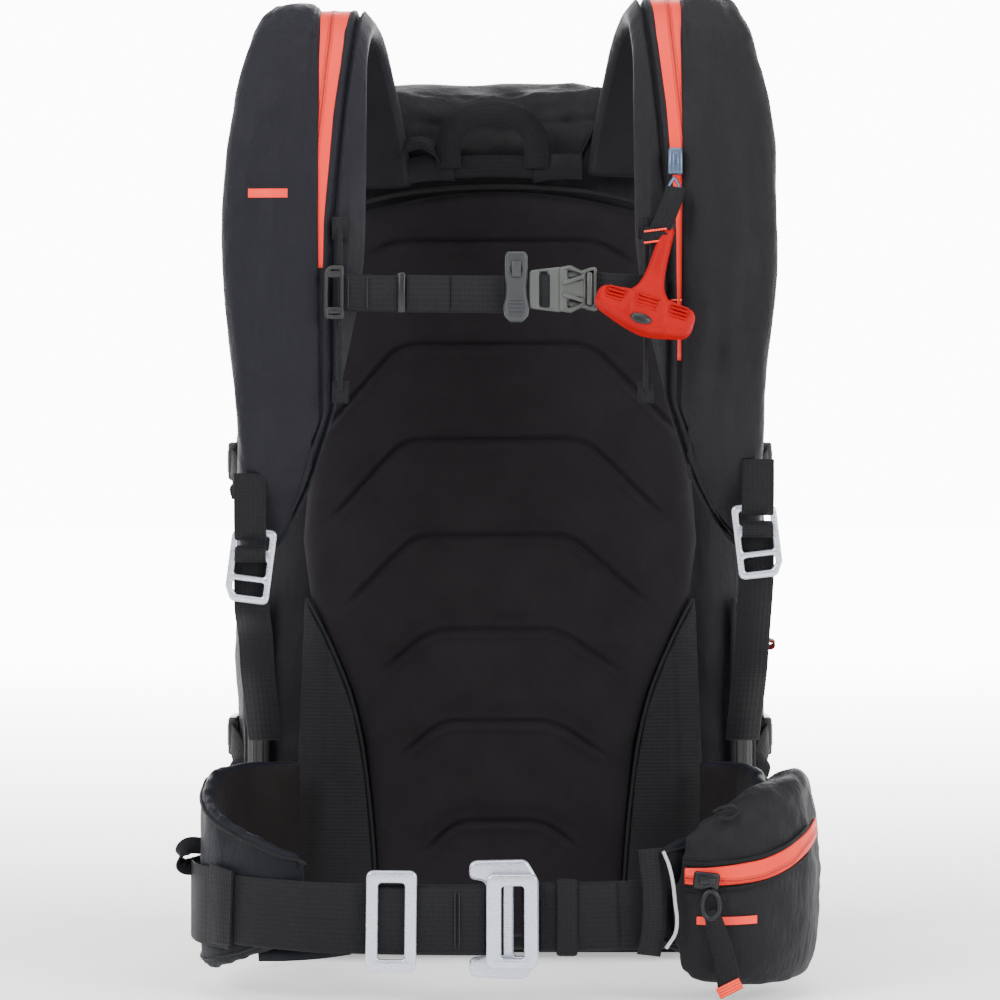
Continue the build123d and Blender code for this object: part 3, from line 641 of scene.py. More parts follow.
def make_bag():
    widths = [(3, 143), (60, 156), (330, 157), (430, 146), (526, 127)]
    rears = [(3, 72), (62, 95), (262, 95), (526, 60)]
    rings = []
    for z, drawn in ((3.2, 14), (4, 9), (7, 4), (13, 0)):
        rings.append(squared_ring(0, (BAG_FRONT + ramp(rears, z)) / 2, ramp(widths, z) - drawn,
                                  (ramp(rears, z) - BAG_FRONT) / 2 - drawn, 0.34, z))
    for k in range(34):
        z = 22 + (505 - 22) * k / 33
        rings.append(squared_ring(0, (BAG_FRONT + ramp(rears, z)) / 2, ramp(widths, z),
                                  (ramp(rears, z) - BAG_FRONT) / 2, 0.34, z))
    for z, drawn in ((514, 1.5), (520, 5), (524, 10), (526, 17)):
        rings.append(squared_ring(0, (BAG_FRONT + ramp(rears, z)) / 2, ramp(widths, z) - drawn,
                                  (ramp(rears, z) - BAG_FRONT) / 2 - drawn, 0.36, z))
    bag = loft("bag_body", rings, BAG, None, uvs=False)

    def held(p):
        return 1.0 if (p.y < -76 and abs(p.x) < 128 and p.z < 470) or p.z < 9 else 0.0

    inflate(bag, 7.5, 3.0, 7, frames=16, hold=held)

    def loose(p):
        still = 0.25 if p.y < -70 and p.z < 455 and abs(p.x) < 120 else 1.0
        return still * min(1.0, max(0.0, (p.z - 8) / 30))

    dress(bag, "pack", subdivide=1)
    crumple(bag, 55, 4.0, 3, (1, 1, 0.7), loose)
    crumple(bag, 24, 4.5, 7, (0.7, 1, 1.4), lambda p: min(1.0, max(0.0, (p.z - 462) / 12)) if p.y < -60
            else 0.15)
    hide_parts("bag_shell")


make_bag()

# ---------------------------------------------------------------- moulded back panel and waist wedges

PANEL_BACK = -83.4
PANEL_RISE = 11.6
PANEL_WIDTHS = [(14, 74), (70, 77), (130, 82), (160, 90), (190, 103), (220, 114), (252, 118), (300, 114),
                (340, 107),
                (390, 97), (427, 90), (461, 84)]
# Each moulded crease: the height and the two ends of its flat top, then its left and right feet
CREASES = [
    (431, -68, 60, (-84, 417), (86, 413)), (369.7, -60, 54, (-111, 311), (112, 311)),
    (313, -57, 51, (-107, 258), (103, 261)), (255.5, -51, 42, (-98, 207), (93, 210)),
    (198.5, -42, 36, (-78, 168), (78, 169)), (143.5, -36, 33, (-66, 117), (69, 119)),
    (84, -27, 27, (-50, 60), (54, 62)),
]


def crease_depth(x, z, line):
    """How far below (+) or above (-) the crease's line a place is, and how far along it from an end."""
    best, signed, along_best = 1e9, 0.0, 0.0
    total = sum(hypot(b[0] - a[0], b[1] - a[1]) for a, b in zip(line, line[1:]))
    run = 0.0
    for (ax, az), (bx, bz) in zip(line, line[1:]):
        dx, dz = bx - ax, bz - az
        length = hypot(dx, dz)
        t = max(0.0, min(1.0, ((x - ax) * dx + (z - az) * dz) / (length * length)))
        px, pz = ax + dx * t, az + dz * t
        away = hypot(x - px, z - pz)
        if away < best:
            best = away
            signed = away if (dx * (z - az) - dz * (x - ax)) < 0 else -away
            along_best = min(run + t * length, total - run - t * length)
        run += length
    return signed, along_best


def make_panel():
    lines = []
    for flat_z, left_x, right_x, left_foot, right_foot in CREASES:
        lines.append(rounded_open([left_foot, (left_x, flat_z), (right_x, flat_z), right_foot], 12))
    nx, nz = 150, 300
    verts, uvs, faces = [], [], []
    for j in range(nz + 1):
        for i in range(nx + 1):
            u = -1 + 2 * i / nx
            top = 461 - 13 * u * u
            z = 14 + (top - 14) * j / nz
            width = ramp(PANEL_WIDTHS, z)
            x = u * width
            inside = min((1 - abs(u)) * width, (top - z) * 0.9, (z - 14) * 1.2)
            lip = 1 - min(inside / 13, 1)
            rise = PANEL_RISE * (0.12 + 0.88 * sqrt(max(0.0, 1 - lip * lip)))
            rise += 1.5 * (1 - (x / 118) ** 2) - 0.6
            for line in lines:
                if min(line[0][1], line[-1][1]) - 10 < z < line[len(line) // 2][1] + 12:
                    away, left = crease_depth(x, z, line)
                    if abs(away) < 16:
                        fade = min(1.0, left / 22)
                        fade = fade * fade * (3 - 2 * fade)
                        rise -= fade * 3.4 * exp(-(away / 1.3) ** 2)
                        rise += fade * 1.5 * exp(-((away - 3.8) / 2.0) ** 2)
                        rise -= fade * 1.3 * exp(-((away + 5) / 4.5) ** 2)
            rise = max(rise, 0.3)
            verts.append((x, PANEL_BACK - rise, z))
            uvs.append((z, x))
    for j in range(nz):
        for i in range(nx):
            k = j * (nx + 1) + i
            faces.append((k, k + 1, k + nx + 2, k + nx + 1))
    rim = [i for i in range(nx + 1)] + [j * (nx + 1) + nx for j in range(1, nz + 1)]
    rim += [nz * (nx + 1) + i for i in range(nx - 1, -1, -1)] + [j * (nx + 1) for j in range(nz - 1, 0, -1)]
    back = len(verts)
    for k in rim:
        x, _, z = verts[k]
        verts.append((x, PANEL_BACK, z))
        uvs.append((z, x))
    for k in range(len(rim)):
        n = (k + 1) % len(rim)
        faces.append((rim[n], rim[k], back + k, back + n))
    faces.append(tuple(back + k for k in range(len(rim))))
    panel = mesh_piece("back_panel_pad", verts, faces, PANEL, "pack", uvs)
    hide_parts("back_panel")


def rounded_open(points, radius, steps=5):
    """An open line with its inner corners rounded."""
    out = [points[0]]
    for a, p, b in zip(points, points[1:], points[2:]):
        a, p, b = Vector(a), Vector(p), Vector(b)
        start, end = p + (a - p).normalized() * radius, p + (b - p).normalized() * radius
        for j in range(steps + 1):
            t = j / steps
            out.append(tuple(start * (1 - t) ** 2 + p * (2 * t * (1 - t)) + end * t * t))
    out.append(points[-1])
    return out


make_panel()

WEDGE_INNER = [(16, 72), (60, 75), (110, 79), (150, 86), (180, 97), (205, 109), (218, 116)]


def make_wedges():
    for side, sign in SIDES:
        nu, nv = 18, 60
        verts, uvs, faces = [], [], []
        for j in range(nv + 1):
            z = 14 + 204 * j / nv
            inner = ramp(WEDGE_INNER, z)
            outer = 117 + 9 * (1 - z / 218)
            for i in range(nu + 1):
                u = i / nu
                x = inner + (outer - inner) * u
                rise = 3.5 + 7.2 * (1 - u ** 2.2) * min(1.0, (218 - z) / 30 + 0.25)
                rise -= 2.4 * exp(-(u * (outer - inner) / 2.2) ** 2)
                seam = abs((outer - x) - 15)
                rise -= 1.0 * exp(-(seam / 1.0) ** 2)
                verts.append((sign * x, PANEL_BACK - rise, z))
                uvs.append((z, x))
        for j in range(nv):
            for i in range(nu):
                k = j * (nu + 1) + i
                faces.append((k, k + 1, k + nu + 2, k + nu + 1))
        wedge = mesh_piece(f"waist_wedge_{side}", verts, faces, SPACER, None, uvs)
        thick = wedge.modifiers.new("thick", "SOLIDIFY")
        thick.thickness = 0.0025
        thick.offset = -1
        bake(wedge)
        dress(wedge, "pack")
        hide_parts("waist_wedges")
        piped = [(sign * ramp(WEDGE_INNER, z), PANEL_BACK - 9.3 * min(1.0, (218 - z) / 30 + 0.35) - 0.4, z)
                 for z in (15, 50, 90, 130, 160, 185, 205, 217)]
        tube(f"wedge_piping_{side}", piped, 1.1, BINDING, "pack")


make_wedges()

# ---------------------------------------------------------------- shoulder straps

# Along the strap from the top of the bag to its tail: y and z of its middle, inner and outer edge, half thickness
STRAP_STATIONS = [
    (-91, 462, 52, 118, 6), (-93, 492, 56, 121, 9), (-102, 522, 62, 126, 10), (-122, 544, 67, 130, 10),
    (-148, 551, 71, 133, 10), (-174, 545, 73, 138, 10), (-196, 524, 75, 144, 10), (-210, 492, 75, 151, 10),
    (-217, 452, 75, 154.5, 10), (-219.5, 410, 76, 155, 10), (-219, 372, 82, 152, 10),
    (-213, 335, 91, 149, 10),
    (-203, 303, 102, 148.5, 10), (-190, 279, 112, 149, 9), (-181, 260, 123, 149, 8), (-175, 247, 133, 148, 6),
    (-173, 240, 139, 146, 3),
]
STRAP_STEPS = 150


def strap_frames(lift):
    """For each step along the strap: its middle, outward direction, tangent, edges, half thickness, length so far."""
    table = [smooth_path([(s[k], 0, 0) for s in STRAP_STATIONS], STRAP_STEPS) for k in range(5)]
    out, along = [], 0.0
    for k in range(STRAP_STEPS):
        y, z, inner, outer, half = (table[c][k].x for c in range(5))
        middle = Vector((0, y, z + lift))
        if k:
            along += (middle - out[-1][0]).length
        out.append([middle, None, None, inner, outer, half, along])
    for k, row in enumerate(out):
        tangent = (out[min(k + 1, STRAP_STEPS - 1)][0] - out[max(k - 1, 0)][0]).normalized()
        row[2] = tangent
        row[1] = Vector((0, -tangent.z, tangent.y)) * -1
    return out


def zip_edges(along, total):
    """The strap zip's outer edge, under the flap, and its inner edge, which closes in to a point."""
    share = along / total
    outer_edge = ramp([(0.0, 105), (0.3, 104), (0.45, 102), (1.0, 101)], share)
    inner_edge = ramp([(0.0, 88), (0.28, 85.5), (0.36, 88), (0.46, 93), (0.58, 98), (1.0, 100)], share)
    return outer_edge, inner_edge


STRAP_TOTAL = strap_frames(0)[-1][6]


def strap_section(row, sign):
    """One ring of the strap: across its outer face with its zip bed, gap and inner strip, then its lining."""
    middle, normal, _, inner, outer, half, along = row
    flap, bed = zip_edges(along, STRAP_TOTAL)
    low = ramp([(0.6, 0.0), (0.85, 8.0), (1.0, 3.0)], along / STRAP_TOTAL)
    flap = min(max(flap, inner + low), outer - 5)
    bed = min(max(bed, inner + low * 0.8), flap - 0.8)
    crown = min(2.5, (outer - flap) * 0.07)
    gap = max(bed - 4.5, inner + 2)
    places = []
    roll = min(9.0, (outer - flap) * 0.45)
    for k in range(7):
        a = pi / 2 * k / 6
        places.append((outer - roll * (1 - cos(a)), half * sin(a)))
    start = outer - roll
    for k in range(1, 12):
        u = k / 11
        places.append((start + (flap - start) * u, half + crown * sin(pi * u)))
    depth = half - 2.6
    places += [(flap - 0.6, half - 0.9), (flap - 0.2, depth), ((flap + bed) / 2, depth), (bed + 0.4, depth)]
    places += [(bed - 0.3, half - 1.4), (bed - 1.6, half - 1.2), (gap + 1.0, half - 1.6),
               (gap + 0.2, half - 5.5)]
    places += [(gap - 1.0, half - 5.2), (gap - 1.8, half - 2.2)]
    edge = min(gap - 3.0, inner + 9)
    for k in range(1, 9):
        a = pi / 2 * k / 8
        places.append((inner + (edge - inner) * cos(a) ** 0.8 if k < 8 else inner,
                       (half - 1.6) * cos(a) ** 0.7 if k < 8 else 0))
    for k in range(1, 7):
        a = pi / 2 * k / 6
        places.append((inner + 6 * (1 - cos(a)), -(half - 1) * sin(a)))
    for k in range(1, 8):
        u = k / 8
        places.append((inner + 6 + (outer - 6 - inner - 6) * u, -(half - 1) - 0.8 * sin(pi * u)))
    for k in range(6, 0, -1):
        a = pi / 2 * k / 6
        places.append((outer - 6 * (1 - cos(a)), -(half - 1) * sin(a)))
    return [middle + Vector((sign * x, 0, 0)) + normal * h for x, h in places]


def strap_point(rows, along, x, height, sign):
    """The place at a length along the strap, x across and height above its middle."""
    for a, b in zip(rows, rows[1:]):
        if along <= b[6]:
            t = (along - a[6]) / (b[6] - a[6])
            middle = a[0].lerp(b[0], t)
            normal = a[1].lerp(b[1], t).normalized()
            return middle + Vector((sign * x, 0, 0)) + normal * height, normal
    return rows[-1][0] + Vector((sign * x, 0, 0)) + rows[-1][1] * height, rows[-1][1]


def along_at(rows, z):
    """The length along the strap where its front run passes height z."""
    for row in reversed(rows):
        if row[0].z >= z:
            return row[6]
    return 0.0


def make_strap(side, sign, cloth):
    rows = strap_frames(STRAP_LIFT[side])
    strap = loft(f"strap_{side}", [strap_section(r, sign) for r in rows], cloth, None)
    strap.data.materials.append(STRAP_INNER)
    count = len(strap_section(rows[0], sign))
    for face in strap.data.polygons:
        ring = min(v % count for v in face.vertices)
        if len(face.vertices) == 4 and ring >= 40:
            face.material_index = 1
    dress(strap, "pack", subdivide=1)

    def flap_only(p):
        return 1.0 if abs(p.x) > 106 else 0.15

    crumple(strap, 36 if side == "left" else 44, 4.2 if side == "left" else 3.4, 11 + sign, (1.7, 1, 0.27),
            flap_only)
    crumple(strap, 15, 0.9, 17 + sign, (1.5, 1, 0.5), flap_only)
    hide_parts(f"shoulder_strap_{side}")
    make_strap_zip(side, sign, rows)


def make_strap_zip(side, sign, rows):
    """The orange tape between the flap and the inner strip, with its coil sliding under the flap."""
    end_z = 402 if side == "right" else 352
    end = along_at(rows, end_z)
    verts, uvs, faces = [], [], []
    n, m = 90, 12
    for j in range(n + 1):
        along = 34 + (end - 34) * j / n
        flap, bed = zip_edges(along, STRAP_TOTAL)
        if side == "left":
            bed = max(bed - 1.5, 86) if along > STRAP_TOTAL * 0.4 else bed
        coil = ramp([(0.0, 95.5), (0.27, 95.5), (0.36, 96.5), (0.44, 99.5), (0.52, 103.5), (0.6, 108),
                     (1.0, 112)],
                    along / STRAP_TOTAL)
        for i in range(m + 1):
            x = flap + 2.2 + (bed - flap - 3.2) * i / m
            half = 10 - 2.35
            lift = 0.55 * exp(-((x - coil) / 1.5) ** 2)
            place, _ = strap_point(rows, along, x, half + lift, sign)
            verts.append(place)
            uvs.append((along, x - coil))
    for j in range(n):
        for i in range(m):
            k = j * (m + 1) + i
            faces.append((k, k + 1, k + m + 2, k + m + 1))
    tape = mesh_piece(f"strap_zip_tape_{side}", verts, faces, ORANGE_ZIP, None, uvs)
    thick = tape.modifiers.new("thick", "SOLIDIFY")
    thick.thickness = 0.0008
    thick.offset = 0
    bake(tape)
    dress(tape, "pack")
    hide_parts(f"strap_zip_{side}")


make_strap("right", -1, STRAP_RIGHT_LIT)
make_strap("left", 1, STRAP_LEFT)

# ---------------------------------------------------------------- strap slider, pull and mark

def bar(name, start, end, width, height, material, body, bevel=0.8, facing=(0, -1, 0)):
    """A bevelled bar from start to end: width across, height towards facing."""
    start, end = Vector(start), Vector(end)
    along = (end - start).normalized()
    up = (Vector(facing) - along * Vector(facing).dot(along)).normalized()
    across = along.cross(up)
    rings = []
    length = (end - start).length
    for at, drawn in ((0, bevel), (bevel * 0.35, bevel * 0.3), (bevel, 0), (length - bevel, 0),
                      (length - bevel * 0.35, bevel * 0.3), (length, bevel)):
        rings.append([start + along * at + across * x + up * y
                      for x, y in rounded_rectangle(0, 0, width - 2 * drawn, height - 2 * drawn, bevel, 3)])
    piece = loft(name, rings, material, body)
    sharpen(piece, 50)
    return piece


def ridged(name, places, radius, material, body):
    """A small ring of wire."""
    return tube(name, places + [places[0]], radius, material, body, 48, 8)


def make_strap_slider():
    rows = strap_frames(STRAP_LIFT["left"])
    at = along_at(rows, 470)
    body, normal = strap_point(rows, at, 97.5, 12.9, 1)
    tip, _ = strap_point(rows, at + 15, 97.5, 13.3, 1)
    bar("strap_slider_body", body, tip, 8, 4, STEEL_BLUE, "strap_slider", 1.2, normal)
    bar("strap_slider_bridge", body + normal * 3 + Vector((0, 0, -3)), tip + normal * 2, 3.6, 2.2, STEEL_BLUE,
        "strap_slider", 0.7, normal)
    ridged("strap_slider_eye", [(96.5, -232.2, 455), (99.5, -234.5, 449), (96.5, -236.8, 444), (93.5, -234.5,
        449)],
           0.9, STEEL_BLUE, "strap_slider")
    strip("strap_pull_tape", [(97, -236.5, 449), (95, -240, 441), (90, -241, 429), (86, -240.5, 421)],
          (1, 0, 0.25), 11, 1.6, WEB, "strap_slider", 24)
    strip("strap_pull_end", [(86.5, -241.6, 425), (84.5, -241.2, 418)], (1, 0, 0.1), 12.6, 2.6, WEB,
          "strap_slider", 6)
    for k, z in enumerate((424.8, 418.6)):
        strip(f"strap_pull_thread_{k}", [(79.4, -243.2, z - 0.8), (92.0, -243.2, z + 0.8)], (0, 0.1, 1), 1.1,
              0.5,
              ORANGE_THREAD, "strap_slider", 8)
    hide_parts("strap_zip_slider")
    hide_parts("strap_zip_pull")


def make_strap_mark():
    """One plain orange stripe heat-pressed on the wearer's right strap."""
    strap = bpy.data.objects["strap_right"]
    verts, uvs, faces = [], [], []
    across, down = 16, 4
    for j in range(down + 1):
        z = 444 + 5 * j / down
        for i in range(across + 1):
            x = -140 + 22 * i / across
            hit, place, _, _ = strap.ray_cast(Vector((x, -400, z)) * MM, Vector((0, 1, 0)))
            verts.append((x, (place.y / MM if hit else -229) - 0.35, z))
            uvs.append((z, x))
    for j in range(down):
        for i in range(across):
            k = j * (across + 1) + i
            faces.append((k, k + 1, k + across + 2, k + across + 1))
    mark = mesh_piece("strap_mark_0", verts, faces, MARK, None, uvs, False)
    thick = mark.modifiers.new("thick", "SOLIDIFY")
    thick.thickness = 0.0004
    bake(mark)
    dress(mark, "pack", False)


MARK = moulded("pressed_mark", (0.85, 0.035, 0.016), 0.5)
make_strap_slider()
make_strap_mark()

# Orange thread tacks beside the wearer's left strap zip
for k, (x, z) in enumerate(((98, 384.5), (98, 381.5))):
    rows = strap_frames(STRAP_LIFT["left"])
    here, _ = strap_point(rows, along_at(rows, z), x - 3, 10.9, 1)
    there, _ = strap_point(rows, along_at(rows, z), x + 3, 10.9, 1)
    strip(f"strap_tack_{k}", [here, there], (0, 0, 1), 0.9, 0.7, ORANGE_THREAD, "pack", 5)

# ---------------------------------------------------------------- haul loop and its anchor


def make_haul_loop():
    path = [(-31, 474), (-31, 483), (-29, 494), (-22, 502), (-10, 505.5), (2, 505.5), (13, 502), (20, 494),
            (22, 483),
            (22, 474)]
    loop = strip("haul_loop_band", [(x, -96.5 - 6 * max(0, (z - 474) / 32), z) for x, z in path],
                 _outward(path), 15, 2.2, WEB, "haul_loop", 90)
    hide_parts("haul_loop")
    anchor = strip("haul_anchor_band", [(-46, -94, 474), (-4, -94.8, 475.5), (38, -94, 474)], (0, 0, 1), 13,
                   1.8, WEB,
                   "pack", 30)
    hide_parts("haul_loop_anchor")
    for k, (x, z, turn) in enumerate(((-42, 474, 0.1), (34, 475, -0.08))):
        strip(f"haul_tab_{k}", [(x - 15, -94.5, z - 2), (x, -96.4, z), (x + 15, -94.8, z + 2 * turn)],
              (0, 0, 1), 15,
              1.8, PACK_CLOTH, "pack", 16)
    arch = [(-62, -93, 474), (-60, -97, 484), (-48, -99, 489), (-38, -97, 484), (-36, -93, 474)]
    strip("hydration_tab", arch, (0.0, 0.3, 1.0), 8, 1.6, WEB, "pack", 30)


def _outward(path):
    """Directions from the loop's middle, so the band lies flat against the bag."""
    return [(x + 4.5, 0, max(z - 478, 0.5)) for x, z in path]


make_haul_loop()


def make_collar():
    """The binding over the top of the back panel and the two seams on the bag above it."""
    arc = [(-87, 458), (-60, 464.5), (-30, 468), (0, 469), (30, 468), (60, 464.5), (87, 458)]
    tube("panel_top_binding", [(x, PANEL_BACK - 8.0, z - 5.5) for x, z in arc], 1.5, BINDING, "pack", 60, 8)
    tube("collar_seam", [(64, -86.3, 520), (58, -86.8, 503), (46, -86.4, 478), (40, -86, 470)], 0.8, BINDING,
         "pack",
         40, 8)
    tube("collar_seam_right", [(-88, -84.5, 512), (-84, -86.2, 494), (-80, -86.4, 470)], 0.8, BINDING, "pack",
         40, 8)


make_collar()

# ---------------------------------------------------------------- chest strap

CHEST_Z = 391


def make_chest_sliders():
    """Wire loops that grip the rails and carry the chest webbing."""
    for side, x, wide, tall in (("right", -92.0, 8.5, 27), ("left", 84.0, 8.0, 22)):
        corner = [(-wide / 2, tall / 2 - 2.5), (-wide / 2 + 2.5, tall / 2), (wide / 2 - 1.5, tall / 2),
                  (wide / 2, tall / 2 - 2), (wide / 2, -tall / 2 + 2), (wide / 2 - 1.5, -tall / 2),
                  (-wide / 2 + 2.5, -tall / 2), (-wide / 2, -tall / 2 + 2.5)]
        loop = tube(f"chest_slide_{side}", [(x + px, -235.3, CHEST_Z + pz) for px, pz in corner + corner[:1]],
                    1.35,
                    DARK_PLASTIC, "sternum", 90, 10)
        for k, lift in enumerate((-tall / 2 + 3.4, tall / 2 - 3.4)):
            bar(f"chest_slide_{side}_grip_{k}", (x - 5, -234.6, CHEST_Z + lift),
                (x + 4, -234.6, CHEST_Z + lift), 4,
                3.4, DARK_PLASTIC, "sternum", 1.0)
        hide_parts(f"chest_slider_{side}")


make_chest_sliders()


def make_rails():
    for side, x in (("left", 81.0), ("right", -88.7)):
        rail = tube(f"chest_rail_{side}",
                    [(x, -229, 334), (x, -233.4, 342), (x, -233.8, 380), (x, -233.4, 420), (x, -229, 429)],
                    1.5,
                    BINDING, "pack", 60, 8)
        for k, z in enumerate((336, 427)):
            strip(f"chest_rail_tab_{side}_{k}", [(x, -229.6, z - 6), (x, -231.6, z), (x, -229.6, z + 6)],
                  (1, 0, 0), 9, 1.4, WEB, "pack", 10)
    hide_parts("chest_rails")


make_rails()


def make_chest_webbing():
    run = [(-88, -231.2, 391), (-72, -231.6, 390.6), (-58, -232.2, 390.4), (-30, -232.6, 390.2),
           (0, -232.8, 390),
           (14, -233.4, 390)]
    main = strip("chest_web_main", run, (0, 0, 1), [20, 21], 1.5, WEB_CHEST, "sternum", 70)
    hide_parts("chest_webbing_right")
    strip("chest_web_stitched", [(-87, -233.6, 391), (-78, -233.9, 391), (-71, -233.7, 391)], (0, 0, 1), 20,
          1.3, WEB,
          "sternum", 20)
    strip("chest_web_fold", [(-74, -233.3, 390.5), (-64, -234.4, 390.5), (-56, -234.5, 390.5)], (0, 0, 1),
          19.4, 1.5,
          WEB_CHEST, "sternum", 20)
    strip("chest_web_tail", [(-52, -234.3, 390.4), (-40, -234.3, 390.3), (-28, -234.2, 390.2)], (0, 0, 1),
          20.5, 1.2,
          WEB_CHEST, "sternum", 40)
    for k, x in enumerate((-84, -73.5)):
        strip(f"chest_stitch_{k}", [(x, -234.7, 382.5), (x, -234.8, 391), (x, -234.7, 399.5)], (1, 0, 0), 0.8,
              0.5,
              THREAD, "sternum", 20)
    keeper_piece = bar("chest_keeper_band", (-54.4, -234, 379.6), (-54.4, -234, 402), 4.2, 7, DARK_PLASTIC,
                       "sternum",
                       1.0)
    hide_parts("chest_keeper")
    left = strip("chest_web_left", [(52, -234.2, 392.5), (64, -234.5, 391.5), (80, -233.4, 391)], (0, 0, 1),
                 [20, 20], 1.5, WEB_CHEST, "sternum", 30)
    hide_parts("chest_webbing_left")


THREAD = ribbed("dark_thread", (0.016, 0.016, 0.018), along=0.0016, across=0.001)
make_chest_webbing()


def make_whistle():
    """A flat moulded whistle with a sound hole, a waisted middle and a round ribbed grip."""
    half = [(5.2, 19.5), (6.2, 17), (6.2, 5), (5.6, 0), (6.0, -6), (7.2, -11), (6.6, -16), (3.5, -19.5)]
    loop = half + [(-x, y) for x, y in reversed(half)]
    outer = rounded_outline(loop, 3)
    hole = rounded_rectangle(0, 9.5, 5.2, 3.2, 1.2)
    body = plate("whistle_body", [outer, hole], 7.0, 1.8, (9, -238.4, 393.8), (1, 0, 0), (0, 0, 1), WHISTLE,
                 "sternum_plug")
    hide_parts("chest_whistle")
    bar("whistle_rib", (9, -242.2, 399), (9, -242.2, 408), 5.2, 1.6, WHISTLE, "sternum_plug", 0.6)
    for k in range(5):
        z = 378.5 + 2.1 * k
        reach = 4.6 - abs(k - 2) * 0.5
        bar(f"whistle_grip_{k}", (9 - reach, -242.1, z), (9 + reach, -242.1, z), 0.9, 0.9, WHISTLE,
            "sternum_plug", 0.3)


make_whistle()


def make_chest_buckle():
    plug_frame = [(-8, -10.5), (9, -12.5), (14, -10), (14, 10), (9, 12.5), (-8, 10.5)]
    plug_slot = rounded_rectangle(0.2, 0, 4.5, 19, 1.2)
    plug = plate("plug_frame", [rounded_outline(plug_frame, 2.6), plug_slot], 5.6, 1.4, (24, -237, 392.4),
                 (1, 0, 0),
                 (0, 0, 1), BUCKLE, "sternum_plug")
    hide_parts("chest_buckle_plug")
    strip("plug_webbing", [(20.5, -236.2, 391.5), (25, -240.4, 391.5), (30, -236.2, 391.5)], (0, 0, 1), 18,
          1.5,
          WEB_CHEST, "sternum_plug", 16)
    for k, sign in enumerate((1, -1)):
        bar(f"plug_prong_{k}", (34, -236.8, 392.4 + sign * 7.5), (45, -236.8, 392.4 + sign * 8.8), 3.4, 4,
            BUCKLE,
            "sternum_plug", 0.9)
    bar("plug_tongue", (34, -236.8, 392.4), (44, -236.8, 392.4), 4, 3, BUCKLE, "sternum_plug", 0.8)
    half = [(-10.5, 12), (-4, 13.2), (2, 10.2), (6, 11.5), (10.5, 12.6)]
    loop = half + [(x, -y) for x, y in reversed(half)]
    window_top = rounded_outline([(-5.5, 10.6), (1.5, 8.0), (1.5, 5.2), (-5.5, 5.6)], 0.8)
    window_low = [(x, -y) for x, y in reversed(window_top)]
    slot = rounded_rectangle(6.4, 0, 3.2, 18, 1)
    socket = plate("socket_shell", [rounded_outline(loop, 2), window_top, window_low, slot], 8, 1.8,
                   (43, -237.2, 392.6), (1, 0, 0), (0, 0, 1), BUCKLE, "sternum")
    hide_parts("chest_buckle_socket")
    for k, sign in enumerate((1, -1)):
        bar(f"socket_rib_{k}", (34.5, -241.6, 392.6 + sign * 3.0), (46.5, -241.6, 392.6 + sign * 6.8), 2.2,
            1.4, BUCKLE,
            "sternum", 0.5)
    bar("socket_bar", (49.5, -240.6, 383.5), (49.5, -240.6, 401.7), 3, 3, BUCKLE, "sternum", 0.8)


make_chest_buckle()

# ---------------------------------------------------------------- trigger handle

GRIP_CENTRE = Vector((80, -253.5, 382))
PULL = Vector((0.27, 0.33, 0.905)).normalized()
GRIP = (Vector((0.905, 0.0, -0.27)) - PULL * Vector((0.905, 0.0, -0.27)).dot(PULL)).normalized()
OUT = PULL.cross(GRIP)
if OUT.y > 0:
    OUT = -OUT


def on_handle(a, p, o):
    """A place on the handle: along the grip, along the pull and outwards from the middle, in millimetres."""
    return GRIP_CENTRE + GRIP * a + PULL * p + OUT * o


